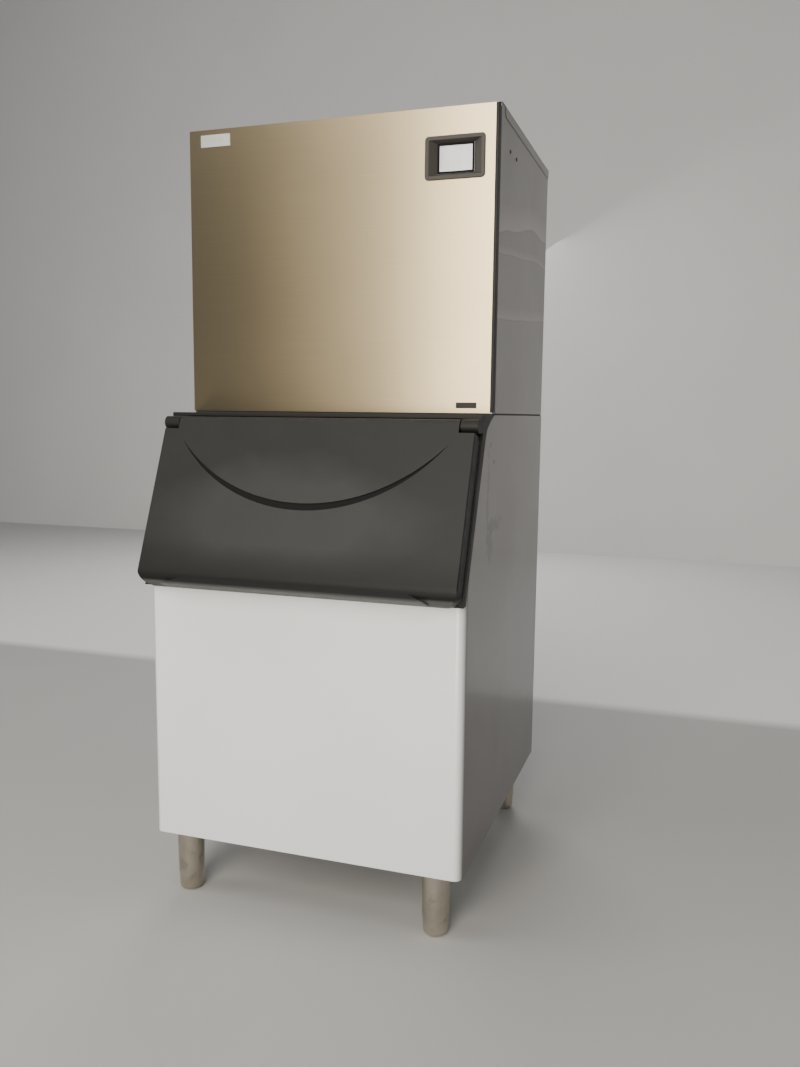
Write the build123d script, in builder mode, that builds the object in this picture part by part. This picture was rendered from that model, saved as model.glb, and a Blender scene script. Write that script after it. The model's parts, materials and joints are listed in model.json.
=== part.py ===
from build123d import *
import os
from math import cos, radians, sin, tan

# Cube ice machine: an ice making head standing on an insulated storage bin.
# Millimetres. +Z is up, the door faces -Y, the floor is z = 0 and the origin is
# the middle of the machine's footprint.

# Cabinets
body_width = 760.0  # head and bin
head_depth = 630.0  # front panel to rear panel
head_height = 665.0  # joint to the top of the front panel
bin_height = 1008.0  # bottom of the bin to the joint
leg_height = 152.0  # floor to the bottom of the bin
bin_front_reach = 212.0  # bin front ahead of the head's front panel
rear_stub = 18.0  # water fittings past the rear panel
sheet = 1.2  # steel sheet of every panel
front_corner_radius = 20.0  # upright front corners of the bin
joint_gap = 4.0  # dark line between bin and head, filled by the top gasket

# Mouth of the bin
mouth_top_reach = 64.0  # where the sloping edge meets the joint, behind the head's front
mouth_bottom_drop = 400.0  # top of the bin's white front below the joint
# Side edge of the wrap above its straight run: behind the head's front, and below the joint
wrap_edge_points = ((20.0, 4.0), (-12.0, 14.5), (-51.0, 36.0), (-66.0, 61.0))
foam_wall = 48.0  # foam between outer sheet and liner
foam_floor = 58.0  # foam under the liner
liner_wall = 3.0
cheek_width = 30.0  # door frame left and right of the mouth
rail_height = 8.0  # top rail of the door frame
frame_wall = 12.0  # front ring and bottom rail of the door frame
mouth_top = 48.0  # top edge of the mouth below the hinge axis, along the door
mouth_bottom = 354.0  # bottom edge of the mouth below the hinge axis, along the door

# Drains
drain_radius = 11.0
spigot_radius = 10.0  # hose end outside the rear panel
drain_flange = 5.0
hose_wall = 2.0

# Door
door_slope = 21.7  # degrees from upright
door_length = 390.0  # hinge axis to the bottom edge
door_side_gap = 4.0  # door inside the body's sides
door_corner_radius = 30.0
door_bottom_radius = 36.0  # the front rolls under at the bottom edge
door_wall = 4.0
door_edge_chamfer = 2.5
door_front = 15.0  # front face ahead of the hinge axis, also the barrel radius
door_depth = 41.0  # front face to the back edge of the outer skin
door_liner_depth = 4.0
plug_depth = 8.0  # raised middle of the door liner
plug_margin = 14.0  # plug inside the mouth
door_gap = 3.0  # back of the door to the frame
gasket_width = 12.0
gasket_margin = 6.0  # gasket outside the mouth
axis_reach = 120.0  # hinge axis ahead of the head's front panel
axis_drop = 28.5  # hinge axis below the joint
barrel_length = 39.0
barrel_gap = 2.0  # notch of the door round the barrel
pin_radius = 4.0
pin_length = 78.0
running_gap = 0.05  # radial clearance of pins and shafts
seat_gap = 0.3  # clearance of pieces that rest side by side
rail_sweep_gap = 22.0  # hinge axis to the front edge of the top rail
groove_half_width = 321.0  # crescent groove on the door
groove_tip_drop = 47.0
groove_upper_drop = 190.0
groove_lower_drop = 206.0
groove_depth = 3.0
lip_half_top = 185.0  # finger lip at the door's bottom edge
lip_half_bottom = 310.0
lip_height = 28.0

# Legs
leg_inset_x = 68.0  # leg axis inside the body's side
leg_inset_front = 48.0
leg_inset_rear = 80.0
leg_radius = 32.0
leg_tip_radius = 30.8
foot_height = 43.0
foot_radius = 30.0
foot_tip_radius = 28.0
foot_edge_radius = 10.0
stem_radius = 8.0
stem_length = 60.0
socket_depth = 64.0
flange_radius = 38.0
flange_thickness = 4.0

# Head panels
frame_depth = 25.0  # black frame behind the front panel's edge
frame_band = 24.0  # its width seen from the front
frame_reveal = 7.0  # strip of the frame that shows right of the front panel
panel_thickness = 2.0  # stainless front panel
post_width = 30.0
cover_rise = 9.0  # top cover above the front panel
cover_lip = 22.0  # side lip of the top cover
cover_lip_setback = 64.0  # lip starts behind the front
cover_lip_radius = 10.0
machine_width = 320.0  # left of the partition
slot_width = 150.0  # slots of the left side panel
slot_count = 10
rear_slot_width = 190.0
slot_height = 6.0
slot_low = 60.0
slot_setback = 190.0
slot_pitch = 16.0
screw_head_radius = 4.0
screw_head_height = 1.2
screw_setbacks = (126.0, 195.0)  # behind the front
screw_drop = 71.0  # below the top of the front panel
screw_radius = 1.5

# Display and plates, measured in from the sides and the top of the front panel
bezel_inset = 29.0
bezel_width = 138.0
bezel_drop = 60.0
bezel_tall = 94.0
bezel_radius = 9.0
bezel_proud = 3.0
bezel_depth = 20.0
bezel_lip = 10.0  # bezel outside the hole in the panel
window_margin_x = 27.0
window_margin_z = 15.0
window_recess = 9.0
screen_thickness = 3.0
tub_wall = 3.0
plate_inset = 31.0
plate_width = 78.0
plate_drop = 12.0
plate_tall = 28.0
plate_thickness = 0.8
tag_inset = 38.0
tag_width = 48.0
tag_low = 11.0  # above the joint
tag_tall = 13.0

# Ice making side
cell_pitch = 25.0
cell_wall = 2.0
cell_depth = 22.0
plate_back = 2.0
grid_setoff = 38.0  # grid to the partition
grid_side_gap = 30.0  # least space right of the grid's frame
grid_top_gap = 110.0  # least space over the grid
grid_low = 200.0  # above the joint
grid_front = 380.0  # behind the head's front
upright_width = 12.0
upright_front = 340.0
upright_rear = 430.0
upright_rise = 48.0  # above the grid
drop_margin = 12.0  # ice drop opening inside the left of the grid
drop_front = 150.0
drop_rear = 335.0
coil_radius = 5.0
coil_wall = 1.0
coil_pitch = 43.0
coil_bend = 10.0
curtain_pin_radius = 3.0
curtain_pin_length = 6.0
curtain_thickness = 3.0
curtain_hem = 5.0  # curtain reaches below the grid
curtain_rise = 33.0  # hinge axis above the grid
trough_wall = 3.0
trough_low = 30.0
trough_high = 120.0
trough_rear = 560.0
distributor_radius = 11.0
distributor_rise = 20.0  # axis above the grid
drip_hole_radius = 1.5
guide_thickness = 2.0
guide_margin = 12.0  # guide above the trough, and solid at its ends
pump_inset = 80.0  # pump axis inside the right end of the grid
pump_setback = 500.0
pump_housing_radius = 32.0
pump_housing_height = 30.0
pump_neck_radius = 14.0
pump_neck_height = 70.0
pump_motor_radius = 36.0
pump_motor_height = 80.0
hose_radius = 8.0
riser_gap = 2.0  # hose beside the pump's motor
float_inset = 82.0  # float axis inside the left end of the grid
float_setback = 500.0
float_radius = 14.0
float_height = 24.0
float_stem_radius = 3.0
float_travel = 20.0
valve_inset = 80.0  # valve axis inside the right side
valve_drop = 105.0  # below the top of the front panel
valve_size = 40.0
inlet_radius = 13.0

# Machine side
pot_inset = 158.0  # compressor axis inside the left side
pot_setback = 190.0
pot_radius = 85.0
pot_height = 220.0
pot_dome = 40.0
pot_plate = 3.0
grommet_radius = 11.0
grommet_height = 15.0
condenser_inset = 30.0  # inside the left side and the partition
condenser_high = 290.0
condenser_depth = 56.0
condenser_rear_gap = 20.0
fin_pitch = 8.0
fin_thickness = 1.0
tube_rows = 6
fan_radius = 105.0
fan_ring_gap = 5.0
fan_hub_radius = 26.0
fan_width = 24.0
fan_blades = 5
blade_pitch = 30.0  # degrees from the fan's plane
blade_chord = 46.0
blade_thickness = 2.0
motor_radius = 40.0
motor_length = 60.0
shaft_radius = 4.0
line_radius = 5.0
line_wall = 1.0
line_bend = 22.0
capillary_bend = 12.0
capillary_rise = 50.0
capillary_reach = 30.0
drier_radius = 14.0
drier_length = 90.0
drier_setback = 330.0
drier_height = 330.0
box_wall = 2.0
box_width = 172.6
box_front = 62.0
box_rear = 200.0
box_tall = 210.0
box_drop = 25.0  # below the top of the front panel
board_margin = 12.0
board_standoff = 10.0
board_thickness = 2.0
relay_size = (18.0, 40.0, 50.0)
gland_inset = 80.0
gland_drop = 65.0
gland_flange = 4.0
gland_nut = 5.0
cable_radius = 4.5
gland_radius = 11.0

# Places that follow from the sizes above
slope_sin = sin(radians(door_slope))
slope_cos = cos(radians(door_slope))
half_width = body_width / 2
door_half_width = half_width - door_side_gap
joint_z = leg_height + bin_height
rim_z = joint_z - joint_gap
door_reach = axis_reach + door_length * slope_sin + door_front * slope_cos
head_front_y = door_reach - (door_reach + head_depth + rear_stub) / 2
head_rear_y = head_front_y + head_depth
stub_end_y = head_rear_y + rear_stub
bin_front_y = head_front_y - bin_front_reach
axis_y = head_front_y - axis_reach
axis_z = joint_z - axis_drop
mouth_top_y = head_front_y + mouth_top_reach
mouth_bottom_z = joint_z - mouth_bottom_drop
liner_outer_x = half_width - sheet - foam_wall
liner_front_y = bin_front_y + sheet + foam_wall
liner_rear_y = head_rear_y - sheet - foam_wall
liner_floor_z = leg_height + sheet + foam_floor
drain_z = liner_floor_z + liner_wall + drain_radius + drain_flange + seat_gap
door_back = door_front - door_depth
frame_face = door_back - door_liner_depth - door_gap

head_top_z = joint_z + head_height
bezel_right = half_width - bezel_inset
bezel_left = bezel_right - bezel_width
bezel_high = head_height - bezel_drop
bezel_low = bezel_high - bezel_tall
plate_left = plate_inset - half_width
plate_high = head_height - plate_drop
tag_right = half_width - tag_inset
partition_x = machine_width - half_width
grid_left = partition_x + grid_setoff
grid_columns = int((half_width - sheet - upright_width - grid_side_gap - grid_left) // cell_pitch)
grid_rows = int((head_height - grid_low - grid_top_gap) // cell_pitch)
grid_width = grid_columns * cell_pitch + cell_wall
grid_height = grid_rows * cell_pitch + cell_wall
grid_right = grid_left + grid_width
grid_top = grid_low + grid_height
coil_runs = 2 * int(grid_height // (2 * coil_pitch))
curtain_axis_height = grid_top + curtain_rise
distributor_height = grid_top + distributor_rise
drop_left = grid_left + drop_margin
drop_right = grid_right
pump_x = grid_right - pump_inset
float_x = grid_left + float_inset
valve_x = half_width - valve_inset
valve_z = head_top_z - valve_drop
pot_x = pot_inset - half_width
condenser_left = condenser_inset - half_width
condenser_right = partition_x - condenser_inset
gland_x = gland_inset - half_width
gland_z = head_top_z - gland_drop

# Door frame of reference: X across, Y up along the door, Z out of its front
door_plane = Plane(origin=(0, axis_y, axis_z), x_dir=(1, 0, 0), z_dir=(0, -slope_cos, slope_sin))
door_side = Plane(origin=(0, axis_y, axis_z), x_dir=(0, slope_sin, slope_cos), z_dir=(1, 0, 0))
side_plane = Plane.YZ
far = 2000.0  # longer than the machine, for cuts that run right through


def front_plane(y):
    """Upright plane facing -Y at the given depth, X across and Z up."""
    return Plane(origin=(0, y, 0), x_dir=(1, 0, 0), z_dir=(0, -1, 0))


def block(x_span, y_span, z_span, mode=Mode.ADD):
    """Box between two limits along each axis, in the piece being built."""
    spans = (x_span, y_span, z_span)
    centre = tuple((low + high) / 2 for low, high in spans)
    with Locations(centre):
        Box(*(high - low for low, high in spans), mode=mode)


def prism(plane, points, half_length, mode=Mode.ADD):
    """Polygon on a plane, extruded the same way to both sides."""
    with BuildSketch(plane) as profile:
        with BuildLine():
            Polyline(*points, close=True)
        make_face()
    extrude(profile.sketch, amount=half_length, both=True, mode=mode)


def rod(start, direction, radius, length, mode=Mode.ADD):
    """Round bar from a point along a direction."""
    with BuildSketch(Plane(origin=start, z_dir=direction)) as profile:
        Circle(radius)
    extrude(profile.sketch, amount=length, mode=mode)


def tube_along(points, bend_radius, radius, wall):
    """Bent tube that follows straight runs joined by arcs."""
    with BuildLine() as path:
        FilletPolyline(*points, radius=bend_radius)
    with BuildSketch(Plane(origin=path.line @ 0, z_dir=path.line % 0)) as profile:
        Circle(radius)
        Circle(radius - wall, mode=Mode.SUBTRACT)
    sweep(profile.sketch, path=path.line)


def keep(piece, name):
    """Label a finished piece and write it to its own file."""
    piece.part.label = name
    export_step(piece.part, f"parts/{name}.step")


def cut_mouth():
    """Remove what lies ahead of the sloping mouth of the bin."""
    front = bin_front_y - sheet
    above = joint_z + sheet
    outline = [(mouth_top_y, joint_z), (bin_front_y, mouth_bottom_z), (front, mouth_bottom_z)]
    outline += [(front, above), (mouth_top_y, above)]
    prism(side_plane, outline, half_width + sheet, mode=Mode.SUBTRACT)


def edge_of_wrap(top):
    """Side outline of what lies ahead of the wrap's edge, up to the given height."""
    front = bin_front_y - door_depth
    outline = [(head_front_y + back, joint_z - drop) for back, drop in wrap_edge_points]
    outline += [(bin_front_y, mouth_bottom_z), (front, mouth_bottom_z), (front, top)]
    outline.append((outline[0][0], top))
    return outline


os.makedirs("parts", exist_ok=True)

# Bin outer wrap: front and sides folded from one painted sheet
hem = 16.0
with BuildPart() as bin_wrap:
    with BuildSketch(Plane.XY.offset(leg_height)):
        with BuildLine():
            Polyline((-half_width, head_rear_y), (-half_width, bin_front_y), (half_width, bin_front_y),
                     (half_width, head_rear_y), close=True)
        outline = make_face()
        fillet(outline.vertices().group_by(Axis.Y)[0], front_corner_radius)
    extrude(amount=rim_z - leg_height)
    with BuildSketch(Plane.XY.offset(leg_height + sheet)):
        with BuildLine():
            inner = half_width - sheet
            Polyline((-inner, head_rear_y), (-inner, bin_front_y + sheet), (inner, bin_front_y + sheet),
                     (inner, head_rear_y), close=True)
        outline = make_face()
        fillet(outline.vertices().group_by(Axis.Y)[0], front_corner_radius - sheet)
    extrude(amount=bin_height, mode=Mode.SUBTRACT)
    inner = half_width - hem
    block((-inner, inner), (bin_front_y + hem, head_rear_y), (leg_height, leg_height + sheet), Mode.SUBTRACT)
    prism(side_plane, edge_of_wrap(joint_z), half_width + sheet, mode=Mode.SUBTRACT)
    straight = half_width - front_corner_radius
    block((-straight, straight), (bin_front_y - sheet, bin_front_y + 2 * sheet), (mouth_bottom_z, joint_z),
          Mode.SUBTRACT)
keep(bin_wrap, "bin_wrap")

# Bin base: pan inside the hem, with a hole for each leg stud
stud_length = 12.0
leg_x = half_width - leg_inset_x
leg_front_y = bin_front_y + leg_inset_front
leg_rear_y = head_rear_y - leg_inset_rear
leg_places = {
    "front_left": (-leg_x, leg_front_y),
    "front_right": (leg_x, leg_front_y),
    "rear_left": (-leg_x, leg_rear_y),
    "rear_right": (leg_x, leg_rear_y),
}
base_bottom = leg_height + sheet
base_rim = 20.0
with BuildPart() as bin_base:
    outer = half_width - sheet - seat_gap
    front = bin_front_y + sheet + seat_gap
    rear = head_rear_y - sheet
    block((-outer, outer), (front, rear), (base_bottom, base_bottom + base_rim))
    fillet(bin_base.edges().filter_by(Axis.Z).group_by(Axis.Y)[0], front_corner_radius - sheet)
    inner = outer - sheet
    block((-inner, inner), (front + sheet, rear - sheet), (base_bottom + sheet, joint_z), Mode.SUBTRACT)
    with Locations(*[(x, y, base_bottom) for x, y in leg_places.values()]):
        Hole(stem_radius + seat_gap, depth=sheet * 2)
keep(bin_base, "bin_base")

# Bin rear panel
with BuildPart() as bin_rear_panel:
    outer = half_width - sheet - seat_gap
    block((-outer, outer), (head_rear_y - sheet, head_rear_y), (base_bottom, rim_z))
    rod((0, head_rear_y - 2 * sheet, drain_z), (0, 1, 0), drain_radius + seat_gap, 4 * sheet, Mode.SUBTRACT)
keep(bin_rear_panel, "bin_rear_panel")

# Foam between the sheet and the liner
with BuildPart() as bin_insulation:
    outer = half_width - sheet - seat_gap
    foam_bottom = base_bottom + base_rim
    block((-outer, outer), (bin_front_y + sheet + seat_gap, head_rear_y - sheet), (foam_bottom, rim_z))
    fillet(bin_insulation.edges().filter_by(Axis.Z).group_by(Axis.Y)[0], front_corner_radius - sheet)
    inner = outer - sheet - seat_gap
    front = bin_front_y + 2 * sheet + 2 * seat_gap
    block((-inner, inner), (front + front_corner_radius, head_rear_y - 2 * sheet - seat_gap),
          (base_bottom + sheet, foam_bottom))
    block((-liner_outer_x, liner_outer_x), (liner_front_y, liner_rear_y), (liner_floor_z, joint_z),
          Mode.SUBTRACT)
    with Locations(*[(x, y, base_bottom + sheet) for x, y in leg_places.values()]):
        CounterBoreHole(stem_radius + seat_gap, stem_radius + seat_gap, stud_length, depth=stud_length)
    rod((0, liner_rear_y - 1, drain_z), (0, 1, 0), drain_radius + seat_gap, foam_wall + 4, Mode.SUBTRACT)
    cut_mouth()
keep(bin_insulation, "bin_insulation")

# Liner: moulded tub that holds the ice
with BuildPart() as bin_liner:
    block((-liner_outer_x, liner_outer_x), (liner_front_y, liner_rear_y), (liner_floor_z, rim_z))
    inner = liner_outer_x - liner_wall
    block((-inner, inner), (liner_front_y + liner_wall, liner_rear_y - liner_wall),
          (liner_floor_z + liner_wall, joint_z), Mode.SUBTRACT)
    rod((0, liner_rear_y - 2 * liner_wall, drain_z), (0, 1, 0), drain_radius + seat_gap, 3 * liner_wall,
        Mode.SUBTRACT)
    cut_mouth()
keep(bin_liner, "bin_liner")

# Drain tube from the liner floor out of the rear panel
with BuildPart() as bin_drain:
    drain_start = liner_rear_y - liner_wall
    rod((0, drain_start, drain_z), (0, 1, 0), drain_radius, head_rear_y - drain_start)
    rod((0, head_rear_y, drain_z), (0, 1, 0), spigot_radius, rear_stub)
    rod((0, drain_start - liner_wall, drain_z), (0, 1, 0), drain_radius + drain_flange, liner_wall)
    rod((0, drain_start - 2 * liner_wall, drain_z), (0, 1, 0), spigot_radius - hose_wall, far, Mode.SUBTRACT)
keep(bin_drain, "bin_drain")

# Gasket between the rim of the bin and the head
with BuildPart() as bin_top_gasket:
    outer = half_width - 2.0
    inner = liner_outer_x - liner_wall
    block((-outer, outer), (head_front_y + 4.0, head_rear_y - 2.0), (rim_z, joint_z))
    block((-inner, inner), (mouth_top_y, liner_rear_y - liner_wall), (rim_z, joint_z), Mode.SUBTRACT)
keep(bin_top_gasket, "bin_top_gasket")

# Door frame: sloping cheeks, top rail, front ring round the mouth and two hinge barrels
slope_run = (mouth_top_y - bin_front_y) / mouth_bottom_drop
rail_bottom = rim_z - rail_height
rail_front_y = axis_y + rail_sweep_gap


def face_y(z, out):
    """World Y at height z of a plane parallel to the door, out from the hinge axis."""
    return axis_y - out / slope_cos + (z - axis_z) * tan(radians(door_slope))


with BuildPart() as door_frame:
    frame_outline = [
        (mouth_top_y - joint_gap * slope_run, rim_z),
        (rail_front_y, rim_z),
        (rail_front_y, rail_bottom),
        (face_y(rail_bottom, frame_face), rail_bottom),
        (face_y(mouth_bottom_z, frame_face), mouth_bottom_z),
        (bin_front_y, mouth_bottom_z),
    ]
    prism(side_plane, frame_outline, half_width - sheet)
    with BuildPart(mode=Mode.PRIVATE) as corner_room:
        for side in (-1, 1):
            block(sorted((side * (half_width - front_corner_radius), side * half_width)),
                  (bin_front_y, bin_front_y + front_corner_radius), (mouth_bottom_z, joint_z))
        prism(side_plane, edge_of_wrap(joint_z), half_width + sheet, mode=Mode.SUBTRACT)
    add(corner_room.part, mode=Mode.SUBTRACT)
    with BuildPart(mode=Mode.PRIVATE) as frame_skin:
        prism(side_plane, frame_outline, half_width)
        prism(side_plane, edge_of_wrap(joint_z), half_width, mode=Mode.INTERSECT)
    add(frame_skin.part)
    inner = half_width - cheek_width
    with BuildSketch(door_plane.offset(frame_face + 1)):
        with Locations((0, -(mouth_top + mouth_bottom) / 2)):
            Rectangle(2 * inner, mouth_bottom - mouth_top)
    extrude(amount=-far, mode=Mode.SUBTRACT)
    pocket_face = frame_face - frame_wall
    pocket_bottom = mouth_bottom_z + frame_wall
    pocket = [
        (face_y(rail_bottom, pocket_face), rail_bottom),
        (face_y(pocket_bottom, pocket_face), pocket_bottom),
        (head_rear_y, pocket_bottom),
        (head_rear_y, rail_bottom),
    ]
    prism(side_plane, pocket, inner, mode=Mode.SUBTRACT)
    for side in (-1, 1):
        ear_inner = half_width - barrel_length
        with BuildSketch(side_plane.offset(side * (ear_inner + half_width) / 2)):
            with Locations((axis_y, axis_z)):
                Circle(door_front)
            with BuildLine():
                ear_low = axis_z - door_front
                ear_high = axis_z + door_front
                Polyline((axis_y, ear_low), (face_y(ear_low, frame_face) + 2, ear_low),
                         (face_y(rim_z, frame_face) + 2, rim_z), (rail_front_y, rim_z),
                         (rail_front_y, ear_high), (axis_y, ear_high), close=True)
            make_face()
        extrude(amount=barrel_length / 2, both=True)
    for side in (-1, 1):
        rod((side * (ear_inner - 1), axis_y, axis_z), (side, 0, 0), pin_radius + running_gap,
            barrel_length - 2, Mode.SUBTRACT)
keep(door_frame, "door_frame")

# Hinge pins: one in each barrel, standing into the door
with BuildPart() as hinge_pins:
    for side in (-1, 1):
        pin_start = half_width - 3.5 - pin_length
        rod((side * pin_start, axis_y, axis_z), (side, 0, 0), pin_radius, pin_length)
keep(hinge_pins, "hinge_pins")


def door_section(inset, back, top):
    """Side outline of the door in the door's own Y and Z, as a solid right across."""
    front = door_front - inset
    bottom = -door_length + inset
    bend = door_bottom_radius - inset
    mid_bend = bend * (1 - cos(radians(45)))
    with BuildSketch(door_side) as profile:
        with BuildLine():
            Polyline((bottom, front - bend), (bottom, back), (top, back), (top, front),
                     (bottom + bend, front))
            ThreePointArc((bottom + bend, front), (bottom + mid_bend, front - mid_bend),
                          (bottom, front - bend))
        make_face()
    extrude(profile.sketch, amount=half_width, both=True, mode=Mode.INTERSECT)


def door_silhouette(plane, inset, top, depth):
    """Front outline of the door with its two round bottom corners, extruded outwards."""
    width = 2 * (door_half_width - inset)
    height = door_length - inset + top
    with BuildSketch(plane) as profile:
        with Locations((0, top - height / 2)):
            outline = Rectangle(width, height)
        fillet(outline.vertices().group_by(Axis.Y)[0], door_corner_radius - inset)
    extrude(profile.sketch, amount=depth)


# Finger lip along the door's bottom edge
lip_face = door_front + 1.5
with BuildPart() as door_lip:
    with BuildSketch(door_side):
        with BuildLine():
            bend = door_bottom_radius
            lip_root = door_front - 8.0
            Polyline((-door_length + lip_height, lip_root), (-door_length, lip_face),
                     (-door_length, door_front - bend), (-door_length + bend, door_front - bend),
                     close=True)
        make_face()
    extrude(amount=lip_half_bottom, both=True)
    with BuildSketch(door_plane.offset(door_front - 2 * door_bottom_radius)):
        with BuildLine():
            Polyline((-lip_half_bottom, -door_length), (-lip_half_top, -door_length + 2 * lip_height),
                     (lip_half_top, -door_length + 2 * lip_height), (lip_half_bottom, -door_length),
                     close=True)
        make_face()
    extrude(amount=3 * door_bottom_radius, mode=Mode.INTERSECT)

# Door outer skin: rolled top round the hinge axis, open back, crescent groove and finger lip
notch_inner = half_width - barrel_length - barrel_gap
knuckle_drop = 24.0  # solid band below the hinge axis
with BuildPart() as door_shell:
    door_silhouette(door_plane.offset(door_back), 0, 0, door_depth)
    front_face = door_shell.faces().sort_by(Axis(door_plane.origin, door_plane.z_dir))[-1]
    chamfer(front_face.edges().filter_by(Axis(door_plane.origin, door_plane.y_dir)), door_edge_chamfer)
    door_section(0, door_back, 0)
    with BuildSketch(door_side):
        Circle(door_front)
    extrude(amount=door_half_width, both=True)
    for side in (-1, 1):
        roll_low = -knuckle_drop + 4.0
        x_span = (side * notch_inner, side * (half_width + 1))
        with BuildSketch(door_plane.offset(door_back - 1)):
            with Locations((sum(x_span) / 2, (roll_low + 2 * door_front) / 2)):
                Rectangle(abs(x_span[1] - x_span[0]), 2 * door_front - roll_low)
        extrude(amount=2 * door_depth, mode=Mode.SUBTRACT)
    with BuildSketch(door_plane.offset(door_back - 1)):
        with Locations((0, (2 * door_front - knuckle_drop) / 2)):
            Rectangle(2 * half_width, 2 * door_front + knuckle_drop)
    extrude(amount=-door_front - door_back + 1, mode=Mode.SUBTRACT)
    add(door_lip.part)
with BuildPart() as door_cavity:
    door_silhouette(door_plane.offset(door_back), door_wall, -knuckle_drop, door_depth - door_wall)
    door_section(door_wall, door_back, -knuckle_drop)
with BuildPart() as door_skin:
    add(door_shell.part)
    add(door_cavity.part, mode=Mode.SUBTRACT)
    with BuildSketch(door_plane.offset(door_front)):
        with BuildLine():
            tip_left = (-groove_half_width, -groove_tip_drop)
            tip_right = (groove_half_width, -groove_tip_drop)
            ThreePointArc(tip_left, (0, -groove_lower_drop), tip_right)
            ThreePointArc(tip_right, (0, -groove_upper_drop), tip_left)
        make_face()
    extrude(amount=-groove_depth, mode=Mode.SUBTRACT)
    for side in (-1, 1):
        rod((side * (half_width - 4.0 - pin_length - 1), axis_y, axis_z), (side, 0, 0),
            pin_radius + running_gap, pin_length, Mode.SUBTRACT)
keep(door_skin, "door_skin")

# Foam that fills the door skin
with BuildPart() as door_insulation:
    door_silhouette(door_plane.offset(door_back), door_wall + seat_gap, -knuckle_drop - seat_gap,
                    door_depth - door_wall - seat_gap)
    door_section(door_wall + seat_gap, door_back, -knuckle_drop - seat_gap)
keep(door_insulation, "door_insulation")

# Door liner: back plate with a raised middle that stands into the mouth
with BuildPart() as door_liner:
    door_silhouette(door_plane.offset(door_back - door_liner_depth), 1.0, -knuckle_drop, door_liner_depth)
    with BuildSketch(door_plane.offset(door_back - door_liner_depth)):
        with Locations((0, -(mouth_top + mouth_bottom) / 2)):
            plug = Rectangle(2 * (inner - plug_margin), mouth_bottom - mouth_top - 2 * plug_margin)
        fillet(plug.vertices(), plug_margin)
    extrude(amount=-plug_depth)
keep(door_liner, "door_liner")

# Door gasket: ring that closes on the frame round the mouth
with BuildPart() as door_gasket:
    with BuildSketch(door_plane.offset(door_back - door_liner_depth)):
        with Locations((0, -(mouth_top + mouth_bottom) / 2)):
            ring_width = 2 * (inner + gasket_margin)
            ring_height = mouth_bottom - mouth_top + 2 * gasket_margin
            Rectangle(ring_width + 2 * gasket_width, ring_height + 2 * gasket_width)
            Rectangle(ring_width, ring_height, mode=Mode.SUBTRACT)
    extrude(amount=-(door_gap - seat_gap))
keep(door_gasket, "door_gasket")

# Legs and their screw feet
for corner, (x, y) in leg_places.items():
    with BuildPart() as leg:
        with BuildSketch(Plane(origin=(x, y, 0), x_dir=(1, 0, 0), z_dir=(0, -1, 0))):
            with BuildLine():
                Polyline((0, foot_height + seat_gap), (leg_tip_radius, foot_height + seat_gap),
                         (leg_radius, leg_height - flange_thickness),
                         (flange_radius, leg_height - flange_thickness),
                         (flange_radius, leg_height), (stem_radius, leg_height),
                         (stem_radius, leg_height + sheet + stud_length),
                         (0, leg_height + sheet + stud_length),
                         close=True)
            make_face()
        revolve(axis=Axis((x, y, 0), (0, 0, 1)))
        rod((x, y, foot_height), (0, 0, 1), stem_radius + running_gap, socket_depth, Mode.SUBTRACT)
    keep(leg, f"leg_{corner}")
    with BuildPart() as foot:
        with BuildSketch(Plane(origin=(x, y, 0), x_dir=(1, 0, 0), z_dir=(0, -1, 0))):
            with BuildLine():
                Polyline((0, 0), (foot_tip_radius, 0), (foot_radius, foot_height), (stem_radius, foot_height),
                         (stem_radius, foot_height + stem_length), (0, foot_height + stem_length), close=True)
            make_face()
        revolve(axis=Axis((x, y, 0), (0, 0, 1)))
        fillet(foot.edges().group_by(Axis.Z)[0], foot_edge_radius)
    keep(foot, f"foot_{corner}")


# Head base: folded tray with the ice drop opening over the bin
head_half = half_width - sheet
head_back_y = head_rear_y - sheet
body_front_y = head_front_y + panel_thickness + frame_depth + seat_gap
tray_rim = 20.0
with BuildPart() as head_base:
    inner = head_half - sheet
    front = head_front_y + panel_thickness + seat_gap
    block((-inner, inner), (front, head_back_y), (joint_z, joint_z + sheet))
    for side in (-1, 1):
        block(sorted((side * inner, side * (inner - sheet))),
              (body_front_y + post_width, head_back_y - sheet),
              (joint_z, joint_z + tray_rim))
    block((drop_left, drop_right), (head_front_y + drop_front, head_front_y + drop_rear),
          (rim_z, joint_z + tray_rim), Mode.SUBTRACT)
keep(head_base, "head_base")

# Upright posts at the two front corners
with BuildPart() as head_posts:
    inner = head_half - sheet
    post_top = head_top_z - 2 * sheet
    for side in (-1, 1):
        x_span = sorted((side * inner, side * (inner - post_width)))
        block(x_span, (body_front_y, body_front_y + sheet), (joint_z + sheet, post_top))
        block(sorted((side * inner, side * (inner - sheet))), (body_front_y, body_front_y + post_width),
              (joint_z + sheet, post_top))
keep(head_posts, "head_posts")

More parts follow.
